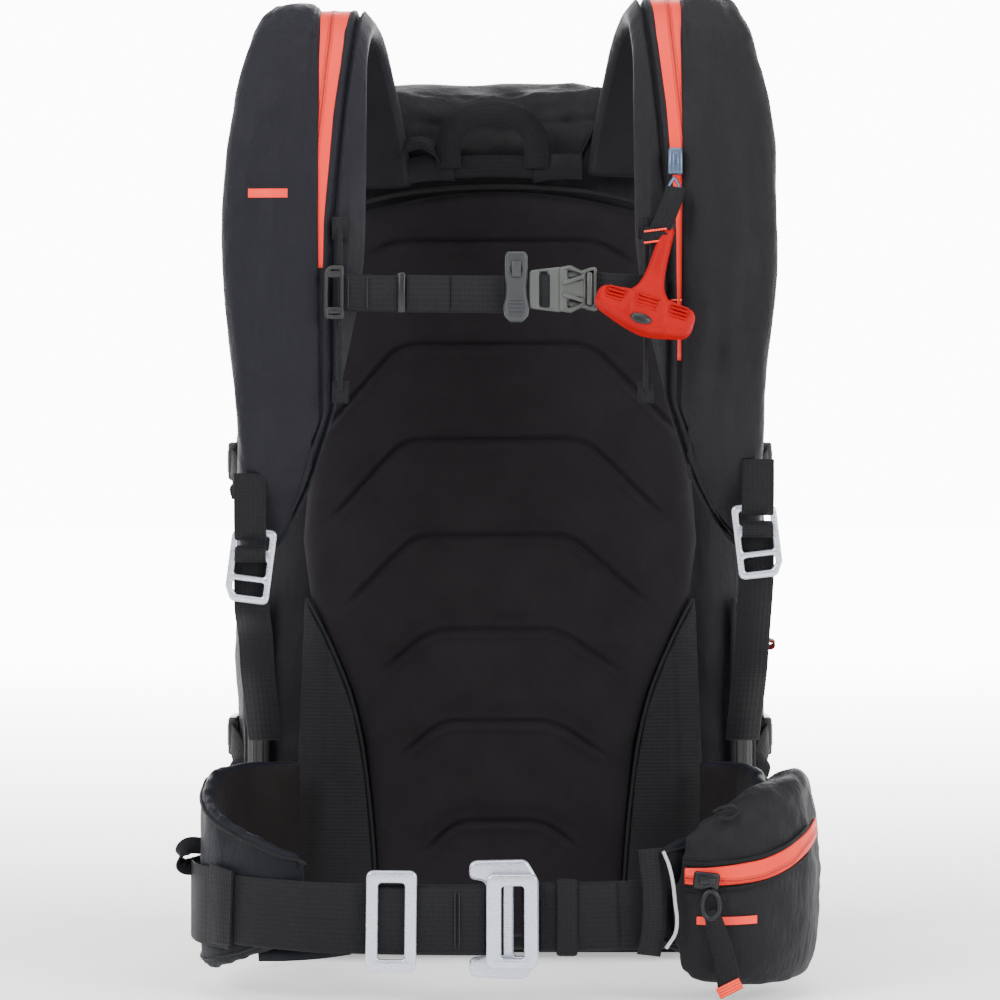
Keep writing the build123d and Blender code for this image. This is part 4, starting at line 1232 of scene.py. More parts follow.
def make_trigger():
    """A T-shaped moulding: a bowed grip with three recesses, flowing into a tapering stem."""
    rings = []
    for k in range(61):
        a = -28 + 56 * k / 60
        share = abs(a) / 28
        end = max(0.0, (share - 0.86) / 0.14)
        droop = 2.2 * share * share
        tall = (14.5 - 2.5 * share) * sqrt(max(0.05, 1 - 0.75 * end * end))
        deep = (15.0 - 2.0 * share) * sqrt(max(0.05, 1 - 0.75 * end * end))
        belly = 9.0 * max(0.0, 1 - (abs(a - 3) / 29) ** 1.7)
        ring = []
        for x, y in rounded_rectangle(0, 0, tall, deep, min(4.6, tall * 0.42), 5):
            low = x - (belly if x < 0 else 0) - droop
            ring.append(on_handle(a, low, y))
        rings.append(ring)
    grip = loft("trigger_grip", rings, TRIGGER, None)
    for vertex in grip.data.vertices:
        p = vertex.co / MM - GRIP_CENTRE
        a, up, out = p.dot(GRIP), p.dot(PULL), p.dot(OUT)
        if out > 5:
            for centre, wide in ((-18, 6.5), (0, 8), (18, 6.5)):
                u = min(1.0, abs(a - centre) / wide)
                v = min(1.0, abs(up - 0.2) / 5.2)
                if u < 1 and v < 1:
                    vertex.co -= OUT * (2.0 * min(1, (1 - u) * 5) * min(1, (1 - v) * 3) * MM)
    dress(grip, "trigger", subdivide=1)
    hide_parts("trigger_handle", "trigger_stem", "trigger_button")
    rings = []
    for k in range(31):
        p = 4 + 46 * k / 30
        flare = exp(-(p - 4) / 5.0)
        wide = 10.5 + 3.0 * exp(-(p - 4) / 14) + 15 * flare - 3.0 * k / 30
        deep = 8.5 + 3.0 * flare - 1.5 * k / 30
        end = max(0.0, (p - 47) / 3)
        wide, deep = wide * (1 - 0.3 * end), deep * (1 - 0.3 * end)
        rings.append([on_handle(x, p, y) for x, y in rounded_rectangle(0, 0, wide, deep, min(3.4,
            deep * 0.42), 4)])
    loft("trigger_neck", rings, TRIGGER, "trigger")
    for k, (a, wide) in enumerate(((-18, 9), (0, 11), (18, 9))):
        for j in range(4):
            up = -3.2 + 2.2 * j
            bar(f"trigger_rib_{k}_{j}", on_handle(a - wide / 2, up, 5.9), on_handle(a + wide / 2, up, 5.9),
                0.9, 1.2,
                TRIGGER, "trigger", 0.3, OUT)
    rings = []
    for size, out in ((0.2, 9.4), (0.8, 9.2), (1.0, 8.6), (1.0, 5.0)):
        rings.append([on_handle(-1 + 6.0 * size * cos(2 * pi * k / 24),
                                -10.6 + 2.9 * size * sin(2 * pi * k / 24), out - 0.9)
                      for k in range(24)])
    loft("trigger_plug", rings, DARK_PLASTIC, "trigger")
    tube("trigger_collar", [on_handle(0, 48, 0), on_handle(0, 52, 0)], 3.4, DARK_PLASTIC, "trigger", 8, 14)


make_trigger()

# ---------------------------------------------------------------- load webbing and ladder buckles


def make_ladders():
    for side, (x, y, z), turn in (("left", (145, -203, 253), 0.30), ("right", (-140.5, -203, 239), -0.32)):
        loop = rounded_outline([(-12.5, -21), (9, -21), (12.8, -13), (12.8, 17), (8.5, 21.3), (-12.5, 21.3)],
                               4)
        upper = rounded_outline([(-9, 9.5), (9, 9.5), (9, 14), (6.5, 17.3), (-9, 17.3)], 1.8)
        middle = rounded_rectangle(0, -1, 18, 9.5, 1.8)
        lower = rounded_outline([(-9, -17), (6, -17), (9, -13.5), (9, -9), (-9, -9)], 1.8)
        if side == "right":
            loop, upper, middle, lower = ([(-px, py) for px, py in reversed(l)]
                                          for l in (loop, upper, middle, lower))
        frame_piece = plate(f"ladder_frame_{side}", [loop, upper, middle, lower], 4.6, 1.5, (x, y, z),
                            (cos(turn * 0.4), 0, sin(turn * 0.4)), (-sin(turn * 0.4), 0, cos(turn * 0.4)),
                            METAL,
                            f"ladder_{side}")
        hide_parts(f"ladder_buckle_{side}")
        strip(f"load_web_{side}", [(x, y + 4.6, z + 6), (x, y + 4.8, z - 8), (x, y + 10, z - 26),
                                               (x, -168, 198), (x, -150, 176), (x, -112, 148), (x, -92, 133)],
                          (1, 0, 0), 20, 1.8, WEB, "pack", 80)
        strip(f"load_web_fold_{side}", [(x, y - 0.4, z + 2.6), (x, y - 4.2, z + 4.2), (x, y - 4.4, z + 8),
                                        (x, y - 0.8, z + 10.8)], (1, 0, 0), 17.4, 1.6, WEB, f"ladder_{side}",
                                        24)
        top = z + 46 if side == "left" else z + 52
        strip(f"load_web_top_{side}", [(x, y - 7.5, top), (x, y - 7.2, z + 30), (x, y - 5.4, z + 20),
                                       (x, y - 1.4, z + 14.8)], (1, 0, 0), 18, 1.6, WEB, "pack", 40)
    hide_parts("load_webbing")


make_ladders()

# ---------------------------------------------------------------- hip wings

WING_PLANS = {
    "left": [(119, -102), (142, -125), (150, -165), (143, -205), (112, -240), (80, -255)],
    "right": [(119, -102), (150, -125), (165, -165), (160, -215), (127, -249), (102, -257)],
}


def wing_heights(y):
    low = ramp([(-262, 33), (-240, 19), (-215, 10), (-90, 10)], y)
    high = ramp([(-262, 80), (-250, 92), (-215, 108), (-165, 123), (-120, 126), (-90, 124)], y)
    return low, high


def make_wing(side, sign):
    line = smooth_path([(sign * x, y, 0) for x, y in WING_PLANS[side]], 46)
    rings = []
    for k, p in enumerate(line):
        tangent = (line[min(k + 1, 45)] - line[max(k - 1, 0)]).normalized()
        out = tangent.cross(Vector((0, 0, 1)))
        if out.x * sign < 0:
            out = -out
        low, high = wing_heights(p.y)
        end = max(0.0, (k - 41) / 4)
        half = 4.2 * (1 - 0.55 * end * end)
        low, high = low + 6 * end * end, high - 8 * end * end
        ring = []
        mid, tall = (low + high) / 2, (high - low) / 2 - half
        for j in range(15):
            ring.append(p + out * half + Vector((0, 0, mid + tall * (-1 + 2 * j / 14))))
        for j in range(1, 6):
            a = pi * j / 6
            ring.append(p + out * (half * cos(a)) + Vector((0, 0, mid + tall + half * sin(a))))
        for j in range(15):
            ring.append(p - out * half + Vector((0, 0, mid + tall * (1 - 2 * j / 14))))
        for j in range(1, 6):
            a = pi * j / 6
            ring.append(p - out * (half * cos(a)) + Vector((0, 0, mid - tall - half * sin(a))))
        rings.append(ring)
    piece = loft(f"hip_wing_pad_{side}", rings, WING, None, uvs=False)

    def held(q):
        return 1.0 if q.y > -112 else 0.0

    inflate(piece, 4.2, 2.2, 2.2, frames=14, hold=held)
    softened(piece, 16)
    piece.data.materials.append(LINING)
    for face in piece.data.polygons:
        c = face.center / MM
        near = min(line, key=lambda q: (q.x - c.x) ** 2 + (q.y - c.y) ** 2)
        k = line.index(near)
        tangent = (line[min(k + 1, 45)] - line[max(k - 1, 0)]).normalized()
        out = tangent.cross(Vector((0, 0, 1)))
        if out.x * sign < 0:
            out = -out
        low, high = wing_heights(c.y)
        if (c - Vector((near.x, near.y,
                        c.z))).dot(out) < 0 and low + 9 < c.z < high - 7 and face.normal.dot(out) < -0.4:
            face.material_index = 1
    dress(piece, f"belt_{side}", subdivide=1)
    crumple(piece, 30, 0.9, 21 + sign, (1, 1, 1.3))
    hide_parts(f"hip_wing_{side}")
    rim, low_rim = [], []
    for k in range(2, 45, 2):
        p = line[k]
        tangent = (line[k + 1] - line[k - 1]).normalized()
        out = tangent.cross(Vector((0, 0, 1)))
        if out.x * sign < 0:
            out = -out
        low, high = wing_heights(p.y)
        for line_of, height in ((rim, high - 8), (low_rim, low + 8)):
            start = p + out * 30 + Vector((0, 0, height))
            hit, place, _, _ = piece.ray_cast(start * MM, -out)
            line_of.append((place / MM if hit else p + out * 6 + Vector((0, 0, height))) + out * 0.4)
    tube(f"wing_rim_{side}", rim, 1.0, BINDING, f"belt_{side}", 70, 8)
    tube(f"wing_seam_{side}", low_rim, 0.9, BINDING, f"belt_{side}", 70, 8)
    return line


WING_LINES = {side: make_wing(side, sign) for side, sign in SIDES}


def make_cradles():
    for side, sign in SIDES:
        rings = []
        for z, drawn in ((22, 5), (24, 1.5), (30, 0), (68, 0), (106, 0), (112, 1.5), (114, 5)):
            rings.append([(x, y, z) for x, y in
                          rounded_rectangle(sign * 112, -85.6, 13 - drawn, 4.4 - drawn * 0.4, 1.2, 4)])
        loft(f"wing_cradle_{side}", rings, SPACER, "pack", uvs=False)
    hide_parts("wing_cradles")


make_cradles()

# ---------------------------------------------------------------- belt webbing and metal buckle


def make_belt_webbing():
    line = [(-172.5, -180, 50), (-169.5, -205, 50), (-159, -227, 50), (-140, -248, 50), (-117, -261, 49.6),
            (-100, -266.6, 49), (-70, -267.6, 48.2), (-40, -267.9, 47.8), (-12, -267.6, 47.6),
            (2, -266.4, 47.6)]
    out = [(0, 0, 1)] * len(line)
    main = strip("belt_web_right", line, out, [38, 38.5], 2.0, WEB, "belt_right", 150)
    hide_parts("belt_webbing_right")
    strip("belt_web_under", [(-176, -176, 50), (-173.8, -196, 50), (-166.5, -218, 50), (-149, -242, 50)],
          (0, 0, 1), 44, 1.4,
          WEB_CHEST, "belt_right", 60)
    strip("belt_fold", [(-161, -227.6, 52), (-154.5, -237.2, 51.4), (-147.5, -244.4, 51)], (0, 0, 1),
          [45, 41], 2.4, WEB,
          "belt_right", 30)
    strip("belt_web_tail", [(-73, -270.6, 48), (-45, -270.4, 47.8), (-22, -270.0, 47.7), (-8, -269.0, 47.7)],
          (0, 0, 1),
          36, 1.7, WEB, "belt_right", 50)
    for k, x in enumerate((-24.5, -22.1)):
        strip(f"belt_stitch_{k}", [(x, -271.5, 33), (x, -271.6, 48), (x, -271.5, 63)], (1, 0, 0), 0.7, 0.5,
              THREAD,
              "belt_right", 20)
    left = strip("belt_web_left", [(12, -259.4, 47.8), (30, -260.4, 48.2), (55, -260.4, 48.8), (80, -258.6,
        49.4)],
                 (0, 0, 1), [38, 38], 2.0, WEB, "belt_left", 60)
    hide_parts("belt_webbing_left")
    strip("belt_web_left_tail", [(22, -262.0, 48.2), (40, -262.4, 48.4), (64, -261.8, 49.2)], (0, 0, 1), 36.5,
          1.6, WEB,
          "belt_left", 40)
    strip("belt_anchor_web", [(81, -263.6, 28), (83.5, -265.2, 42), (84, -265.2, 62), (82, -263.0, 86)],
          (1, 0.25, 0), 13.5, 2.0,
          WEB_CHEST, "belt_left", 40)
    loop = bar("belt_keeper_band", (36.5, -262.6, 27.4), (36.5, -262.6, 69.2), 11.5, 5.8, WEB, "belt_left",
               1.4)
    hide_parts("belt_keeper")
    strip("belt_lower_edge", [(-132, -241, 25), (-116, -250.5, 26.5), (-98, -255.5, 28.5), (-82, -257.6, 31)],
          (0, 0, 1), 7, 5, WING,
          "belt_right", 30)


make_belt_webbing()


def make_metal():
    adjuster = plate("adjuster_frame", [rounded_rectangle(0, 0, 27.5, 55, 4), rounded_rectangle(0, 0, 14.5,
        41.5, 2)], 4.6, 1.4,
                     (-59, -272.2, 47.6), (1, 0, -0.01), (0.01, 0, 1), METAL, "belt_adjuster")
    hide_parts("belt_adjuster")
    buckle = plate("buckle_frame", [rounded_rectangle(0, 0, 28, 51.5, 4), rounded_rectangle(0.4, -0.4, 12.4,
        39.5, 2)],
                   4.4, 1.3, (6.5, -271.2, 47.2), (1, 0, 0), (0, 0, 1), METAL, "belt_right")
    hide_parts("belt_buckle_frame")
    outer = rounded_outline([(-19, 32), (12, 32.6), (15.5, 27), (19, 21), (19, -20), (15.5, -27), (12, -32.6),
                             (-19, -31.5),
                             (-19, -21), (-9.5, -20), (-9.5, 21), (-19, 22)],
                             [5, 5, 8, 7, 7, 8, 5, 5, 4, 5, 5, 4])
    slot = rounded_rectangle(9.0, 0, 7.5, 40, 2)
    hook = plate("buckle_hook", [outer, slot], 5.4, 1.7, (2.2, -262.6, 47.4), (1, 0, 0), (0, 0, 1), METAL,
                 "belt_left")
    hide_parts("belt_buckle_hook")


make_metal()

# ---------------------------------------------------------------- gear loop and wing webbing


def make_gear_loop():
    loop = strip("gear_loop_band", [(-168, -188, 70), (-176, -191.5, 68), (-180.4, -193, 70), (-180.6, -193,
        76),
                                    (-176, -191.5, 80), (-166, -188, 79)], (0, 0.45, 0.9), 10, 1.6, WEB,
                                    "belt_right", 60)
    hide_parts("gear_loop")
    strip("gear_loop_tail", [(-166, -206, 74), (-161, -219, 75), (-155, -227, 76)], (0, 0, 1), [18, 20], 1.5,
          WEB,
          "belt_right", 20)
    ridged("gear_ring", [(-160, -222, 84), (-153, -230, 94), (-151, -232, 84)], 1.4, WEB, "belt_right")


make_gear_loop()

# ---------------------------------------------------------------- hip pocket

POCKET_OUTER = [(92, -262), (118, -267.5), (142, -262), (162, -246), (175, -222), (179.5, -192), (177, -162),
                (170, -138), (158, -122)]
POCKET_INNER = [(93, -257), (110, -252), (124, -241), (140, -224), (150, -205), (155, -185), (157, -165),
                (155, -145),
                (151, -126)]


def make_pocket():
    outer, inner = smooth_path([(x, y, 0) for x, y in POCKET_OUTER], 50), \
        smooth_path([(x, y, 0) for x, y in POCKET_INNER], 50)
    rings = []
    for k in range(50):
        share = k / 49
        low = ramp([(0, 16), (0.12, 11), (0.4, 7.5), (0.7, 10), (1.0, 26)], share)
        high = ramp([(0, 88), (0.10, 100), (0.3, 118), (0.5, 126), (0.75, 124), (1.0, 112)], share)
        depth = min(1.0, share / 0.10 + 0.2, (1 - share) / 0.10 + 0.3)
        a, b = outer[k], inner[k]
        ring = []
        mid, tall = (low + high) / 2, (high - low) / 2
        count = 36
        for j in range(count):
            t = 2 * pi * j / count
            c, s = cos(t), sin(t)
            across = 0.5 + 0.5 * (1 if c > 0 else -1) * abs(c) ** 0.45 * depth
            up = (1 if s > 0 else -1) * abs(s) ** 0.55
            lean = 5.5 * max(0.0, up) ** 2 + 2.5 * max(0.0, -up) ** 2
            place = b.lerp(a, across)
            inward = (b - a).normalized()
            ring.append(place + inward * (lean * across) + Vector((0, 0, mid + tall * up)))
        rings.append(ring)
    pocket = loft("hip_pocket_bag", rings, POCKET, None, uvs=False)

    def held(q):
        return 1.0 if q.x < 100 and q.y < -250 else 0.0

    inflate(pocket, 5.0, 2.4, 3.5, frames=14, hold=held)
    softened(pocket, 2)
    dress(pocket, "belt_left", subdivide=1)

    def loose(q):
        near_zip = exp(-((q.z - zip_height(q)) / 13) ** 2)
        return (0.45 + 0.75 * min(1.0, max(0.0, (q.z - 60) / 30))) * (1 - 0.8 * near_zip)

    crumple(pocket, 24, 3.0, 31, (1, 1, 1.5), loose)
    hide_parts("hip_pocket")
    return outer


def zip_height(q):
    return ramp([(98, 69), (128, 70.5), (145, 72), (160, 77), (172, 85), (181, 96)], q.x)


POCKET_LINE = make_pocket()


def skin_place(obj_name, start, towards):
    """Where a ray from start meets a piece, and the skin's direction there."""
    target = bpy.data.objects[obj_name]
    direction = (Vector(towards) - Vector(start)).normalized()
    hit, place, normal, _ = target.ray_cast(Vector(start) * MM, direction)
    return (place / MM, normal) if hit else (None, None)


def band_on(name, target, places, widths, material, body, proud=0.5, count=60, swell=0.0, coil=None):
    """A band that follows a piece's skin: places are (x, z) seen from the front, widths up and down from them."""
    line = smooth_path([(x, 0, z) for x, z in places], count)
    verts, uvs, faces = [], [], []
    rows = 9
    along = 0.0
    last = None
    for k, p in enumerate(line):
        above = ramp([(n / (len(widths) - 1), w[0]) for n, w in enumerate(widths)], k / (count - 1))
        below = ramp([(n / (len(widths) - 1), w[1]) for n, w in enumerate(widths)], k / (count - 1))
        for j in range(rows):
            z = p.z + above - (above + below) * j / (rows - 1)
            hit, normal = skin_place(target, (p.x, -400, z), (p.x, 0, z))
            if hit is None:
                hit, normal = (last + Vector((0, 0, 0)),
                               Vector((0, -1, 0))) if last else (Vector((p.x, -200, z)), Vector((0, -1, 0)))
                hit = Vector((p.x, hit.y, z))
            if j == rows // 2 and last is not None:
                along += (hit - last).length
            if j == rows // 2:
                last = hit
            lift = proud + swell * exp(-((z - (coil(p) if coil else p.z)) / 1.6) ** 2)
            verts.append(hit + normal * lift)
            uvs.append((along, z - (coil(p) if coil else p.z)))
    for k in range(count - 1):
        for j in range(rows - 1):
            a = k * rows + j
            faces.append((a, a + 1, a + rows + 1, a + rows))
    band = mesh_piece(name, verts, faces, material, None, uvs)
    softened(band, 2)
    thick = band.modifiers.new("thick", "SOLIDIFY")
    thick.thickness = 0.001
    thick.offset = 0
    bake(band)
    return dress(band, body)


def make_pocket_zip():
    line = [(101, 70.9), (112, 70.6), (128, 71.4), (143, 73.5), (155, 77.5), (165, 83), (172, 88.5),
            (176, 93)]
    tape = band_on("hip_zip_tape", "hip_pocket_bag", line, [(4.5, 4.5), (6.6, 4.6), (7.0, 5.2), (5.0, 5.0)],
                   ORANGE_ZIP,
                   "belt_left", 0.7, 70, 0.7, lambda p: ramp([(97, 70), (128, 68.6), (143, 70.5), (160, 77),
                                                              (178, 94)], p.x))
    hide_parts("hip_pocket_zip")
    band_on("hip_zip_garage", "hip_pocket_bag", [(100, 78), (112, 77.8), (128, 79.2), (143, 81.6), (158, 87),
                                                 (170, 95)],
            [(1.1, 1.1)] * 3, BINDING, "belt_left", 1.2, 50)
    band_on("hip_zip_lower_seam", "hip_pocket_bag",
            [(100, 63.8), (112, 63.6), (128, 64.8), (143, 67.4), (158, 72.5), (170, 79.5)],
            [(1.0, 1.0)] * 3, BINDING, "belt_left", 1.0, 50)


make_pocket_zip()


def make_pocket_slider():
    bar("hip_slider_body", (105, -270.4, 70), (119, -270.6, 68.5), 9.5, 3.6, BLACK_METAL, "hip_slider", 1.3)
    bar("hip_slider_bridge", (108, -272.6, 69.8), (117, -272.4, 68.8), 4, 2.2, BLACK_METAL, "hip_slider", 0.8)
    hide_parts("hip_pocket_slider")
    ring = [(112 + 4.6 * sin(t) + 2.2, -274.5 + 0.3 * cos(t), 56.5 + 7.5 * cos(t)) for t in
            [2 * pi * k / 12 for k in range(12)]]
    ridged("hip_pull_ring", ring, 1.5, BLACK_METAL, "hip_pull")
    bar("hip_pull_neck", (112.5, -272.8, 69), (113.2, -273.0, 65.5), 4.6, 2.4, BLACK_METAL, "hip_slider", 0.8)
    strip("hip_pull_tape", [(114.5, -274.4, 53.5), (116.5, -275.0, 46), (121, -274.0, 30), (124.5, -272.4,
        12)],
          (1, 0, 0.15), [8.5, 13], 1.6, WEB, "hip_pull", 30)
    strip("hip_pull_end", [(123, -273.8, 14), (125.8, -273.0, 8.5)], (1, 0, 0.15), 14, 1.0, ORANGE_THREAD,
          "hip_pull", 6)
    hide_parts("hip_pocket_pull")
    tube("pocket_piping", [(89, -264.2, 84.5), (92, -266.6, 77), (94, -268.0, 68), (95.2, -268.6, 57), (96.2,
        -268.4, 48),
                           (95.2, -267.6, 40), (90.5, -265.6, 32)], 1.0, PIPING, "belt_left", 60, 8)
    tube("pocket_tunnel", [(116, -264.6, 106), (121, -264.6, 108.6), (127, -262.6, 108.8), (129.5, -261.2,
        105.6),
                           (125, -264.0, 102.6), (118.5, -265.6, 103)], 1.0, POCKET, "belt_left", 50, 8)


make_pocket_slider()


def make_pocket_mark():
    """One plain orange stripe pressed on the pocket."""
    band_on("pocket_mark_0", "hip_pocket_bag", [(107, 47), (123, 47), (140, 47.5)], [(2.3, 2.3), (2.3, 2.3)],
            MARK, "belt_left", 0.5, 30)


make_pocket_mark()

# ---------------------------------------------------------------- zips, straps and pockets round the bag


def corner_place(sign, angle, z, proud=0.0):
    """A place on the bag's front corner, angle degrees round from the front."""
    a = radians(angle)
    return Vector((sign * (118 + (40.8 + proud) * sin(a)), -43 - (40.8 + proud) * cos(a), z))


def make_side_zips():
    for side, sign in SIDES:
        verts, uvs, faces = [], [], []
        n, m = 50, 8
        for j in range(n + 1):
            z = 62 + 152 * j / n
            for i in range(m + 1):
                angle = 34 + 18 * i / m
                away = (angle - 43) * 0.72
                verts.append(corner_place(sign, angle, z, 2.6 + 0.6 * exp(-(away / 1.5) ** 2)))
                uvs.append((z, away))
        for j in range(n):
            for i in range(m):
                k = j * (m + 1) + i
                faces.append((k, k + 1, k + m + 2, k + m + 1))
        tape = mesh_piece(f"side_zip_tape_{side}", verts, faces, BLACK_ZIP, None, uvs)
        thick = tape.modifiers.new("thick", "SOLIDIFY")
        thick.thickness = 0.0014
        thick.offset = 0
        bake(tape)
        dress(tape, "pack")
        for k, angle in enumerate((32, 55)):
            tube(f"side_zip_welt_{side}_{k}", [corner_place(sign, angle, z, 2.0) for z in (60, 100, 140, 180,
                217)], 1.7,
                 BINDING, "pack", 40, 8)
        body = bar(f"side_slider_body_{side}", corner_place(sign, 43, 178, 4.6),
                   corner_place(sign, 43, 165, 4.6), 8, 3.2,
                   BLACK_METAL, f"side_slider_{side}", 1.0, (sign * sin(radians(43)), -cos(radians(43)), 0))
        strip(f"side_slider_cord_{side}", [corner_place(sign, 43, 168, 7), corner_place(sign, 44, 158, 8),
                                           corner_place(sign, 45, 140, 7)],
                                           (cos(radians(43)), sign * sin(radians(43)), 0),
              7, 1.4, WEB, f"side_slider_{side}", 20)
        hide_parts(f"side_zip_slider_{side}")
    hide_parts("side_zips")


make_side_zips()


def bag_side(sign, angle, z, proud=1.6):
    """A place on the bag at height z, angle degrees round from its side towards its rear."""
    out = Vector((sign * cos(radians(angle)), sin(radians(angle)), 0))
    hit, place, _, _ = bpy.data.objects["bag_body"].ray_cast((out * 400 + Vector((0, 7, z))) * MM, -out)
    return (place / MM if hit else out * 160 + Vector((0, 7, z))) + out * proud


def make_bag_seams():
    """Bound seams down the bag's sides."""
    for side, sign in SIDES:
        for k, angles in enumerate(((8, 8, 8, 8, 8), (-20, -20, -21, -24, -28))):
            heights = (28, 150, 280, 400, 500) if k == 0 else (222, 290, 360, 430, 500)
            line = [bag_side(sign, angle, z, 0.4) for angle,
                    z in zip(smooth_numbers(angles), smooth_numbers(heights))]
            tube(f"bag_seam_{side}_{k}", line, 1.1, BINDING, "pack", 110, 8)


def smooth_numbers(values, count=40):
    return [p.x for p in smooth_path([(v, 0, 0) for v in values], count)]


make_bag_seams()


def make_compression():
    for side, sign in SIDES:
        for k, z in enumerate((130, 300)):
            path = [bag_side(sign, angle, z) for angle in (-13, -6, 2, 10, 17, 23, 28, 32, 36, 40)]
            strip(f"compression_web_{side}_{k}", path, (0, 0, 1), 19, 1.7, WEB, "pack", 80)
            loop = [(-12, 11.5), (-6, 12), (12, 12), (12, -12), (-6, -12), (-12, -11.5)]
            holes = [rounded_rectangle(-6.4, 0, 4, 18, 1.2), rounded_rectangle(6.4, 0, 4, 18, 1.2)]
            loops = [rounded_outline([(px * 1.55, py) for px, py in loop], 3)] + [
                [(px * 1.5, py) for px, py in h] for h in holes]
            buckle = plate(f"compression_buckle_{side}_{k}_shell", loops, 6, 1.6, (sign * 165.2, -10, z),
                           (0, 1, 0), (0, 0, 1),
                           BUCKLE_DARK, "pack")
            bar(f"compression_buckle_{side}_{k}_rib", (sign * 168.8, -14, z), (sign * 168.8, -4, z), 14, 2,
                BUCKLE_DARK,
                "pack", 0.8, (sign, 0, 0))
            strip(f"compression_tail_{side}_{k}", [(sign * 166, -20, z + 1), (sign * 164.5, -34, z - 1),
                                                   (sign * 160, -46, z - 9), (sign * 157.5, -52, z - 21)],
                  (0, 0.35, 1), 15, 1.5, WEB, "pack", 24)
    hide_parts("compression_straps")
    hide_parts("compression_buckles")


BUCKLE_DARK = moulded("side_buckle_plastic", (0.020, 0.021, 0.022), 0.36)
make_compression()


def make_rear():
    rings = []
    for z, drawn in ((76, 12), (78, 6), (84, 1.5), (92, 0), (130, 0), (180, 0), (230, 0), (248, 1), (256, 4),
                     (261, 9),
                     (262, 14)):
        half = 94 - drawn
        bulge = 19.5 + 3 * sin(pi * min(1.0, (z - 76) / 186)) - drawn * 0.8
        ring = []
        for j in range(40):
            t = 2 * pi * j / 40
            c, s = cos(t), sin(t)
            ring.append((half * (1 if c > 0 else -1) * abs(c) ** 0.3,
                         96.5 + bulge / 2 + bulge / 2 * (1 if s > 0 else -1) * abs(s) ** 0.5, z))
        rings.append(ring)
    pocket = loft("tool_pocket_bag", rings, PACK_CLOTH, None, uvs=False)
    inflate(pocket, 6, 2.0, 3.0, frames=12, hold=lambda p: 1.0 if p.y < 101 else 0.0)
    dress(pocket, "pack", subdivide=1)
    crumple(pocket, 45, 3.0, 41, (1, 1, 0.8))
    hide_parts("tool_pocket")
    verts, uvs, faces = [], [], []
    for j in range(41):
        z = 96 + 144 * j / 40
        for i in range(9):
            x = 38.5 + 11 * i / 8
            hit, place, _, _ = pocket.ray_cast(Vector((x, 300, z)) * MM, Vector((0, -1, 0)))
            y = place.y / MM if hit else 122
            verts.append((x, y + 1.0 + 0.6 * exp(-((x - 44) / 1.6) ** 2), z))
            uvs.append((z, x - 44))
    for j in range(40):
        for i in range(8):
            k = j * 9 + i
            faces.append((k, k + 1, k + 10, k + 9))
    tape = mesh_piece("tool_zip_tape", verts, faces, BLACK_ZIP, None, uvs)
    thick = tape.modifiers.new("thick", "SOLIDIFY")
    thick.thickness = 0.0012
    thick.offset = 0
    bake(tape)
    dress(tape, "pack")
    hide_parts("tool_pocket_zip")
    body = bar("tool_slider_body", (44, 126.5, 228), (44, 126.5, 214), 8, 3.4, BLACK_METAL, "tool_slider",
               1.0, (0, 1, 0))
    strip("tool_slider_tape", [(44, 129, 216), (44, 130.4, 206), (44, 129.6, 190)], (1, 0, 0), 9, 1.5,
          ORANGE_THREAD,
          "tool_slider", 20)
    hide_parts("tool_pocket_slider")
    for k, x in enumerate((-52, 52)):
        strip(f"axe_loop_band_{k}", [(x, 97.5, 70), (x, 108, 71), (x, 115, 64), (x, 115.5, 55),
                                                 (x, 110, 46.5),
                                                 (x, 97.5, 45)], (1, 0, 0), 18, 1.8, WEB, "pack", 50)
    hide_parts("axe_loops")
    arc = [(-48, 495.5), (-24, 500), (0, 501.5), (24, 500), (48, 495.5)]
    line = smooth_path([(x, 0, z) for x, z in arc], 40)
    verts, uvs, faces = [], [], []
    bag = bpy.data.objects["bag_body"]
    for k, p in enumerate(line):
        for i in range(7):
            z = p.z - 4 + 8 * i / 6
            hit, place, _, _ = bag.ray_cast(Vector((p.x, 300, z)) * MM, Vector((0, -1, 0)))
            y = place.y / MM if hit else 66
            verts.append((p.x, y + 1.3, z))
            uvs.append((p.x, z - p.z))
    for k in range(39):
        for i in range(6):
            a = k * 7 + i
            faces.append((a, a + 1, a + 8, a + 7))
    burst = mesh_piece("burst_zip_tape", verts, faces, BLACK_ZIP, None, uvs)
    thick = burst.modifiers.new("thick", "SOLIDIFY")
    thick.thickness = 0.0012
    bake(burst)
    dress(burst, "pack")
    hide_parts("airbag_burst_zip")
    for name, points in (
        ("rear_seam_left", [(92, 97, 268), (100, 92, 330), (98, 80, 420), (86, 66, 500)]),
        ("rear_seam_right", [(-92, 97, 268), (-100, 92, 330), (-98, 80, 420), (-86, 66, 500)]),
        ("rear_seam_across", [(-96, 97.5, 270), (0, 99.5, 272), (96, 97.5, 270)]),
    ):
        seam = []
        for x, y, z in smooth_path(points, 14):
            hit, place, _, _ = bag.ray_cast(Vector((x, 300, z)) * MM, Vector((0, -1, 0)))
            seam.append((x, (place.y / MM if hit else y) + 0.5, z))
        tube(name, seam, 1.2, BINDING, "pack", 60, 8)


make_rear()


def make_base():
    """The base's tough cloth panel, with a bound edge."""
    rings = []
    for z, drawn in ((0.2, 3.5), (0.2, 1.2), (1.0, 0.2), (2.6, 0), (3.4, 1.0)):
        rings.append([(x, y, z) for x, y in rounded_rectangle(0, 5.5, 266 - drawn * 2, 124 - drawn * 2, 24,
                                                              8)])
    base = loft("base_cloth", rings, BASE, "pack", uvs=False)
    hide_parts("base_panel")
    loop = [(x, y, 3.6) for x, y in rounded_rectangle(0, 5.5, 266, 124, 24, 4)]
    tube("base_binding", loop + [loop[0]], 1.3, BINDING, "pack", 120, 8)


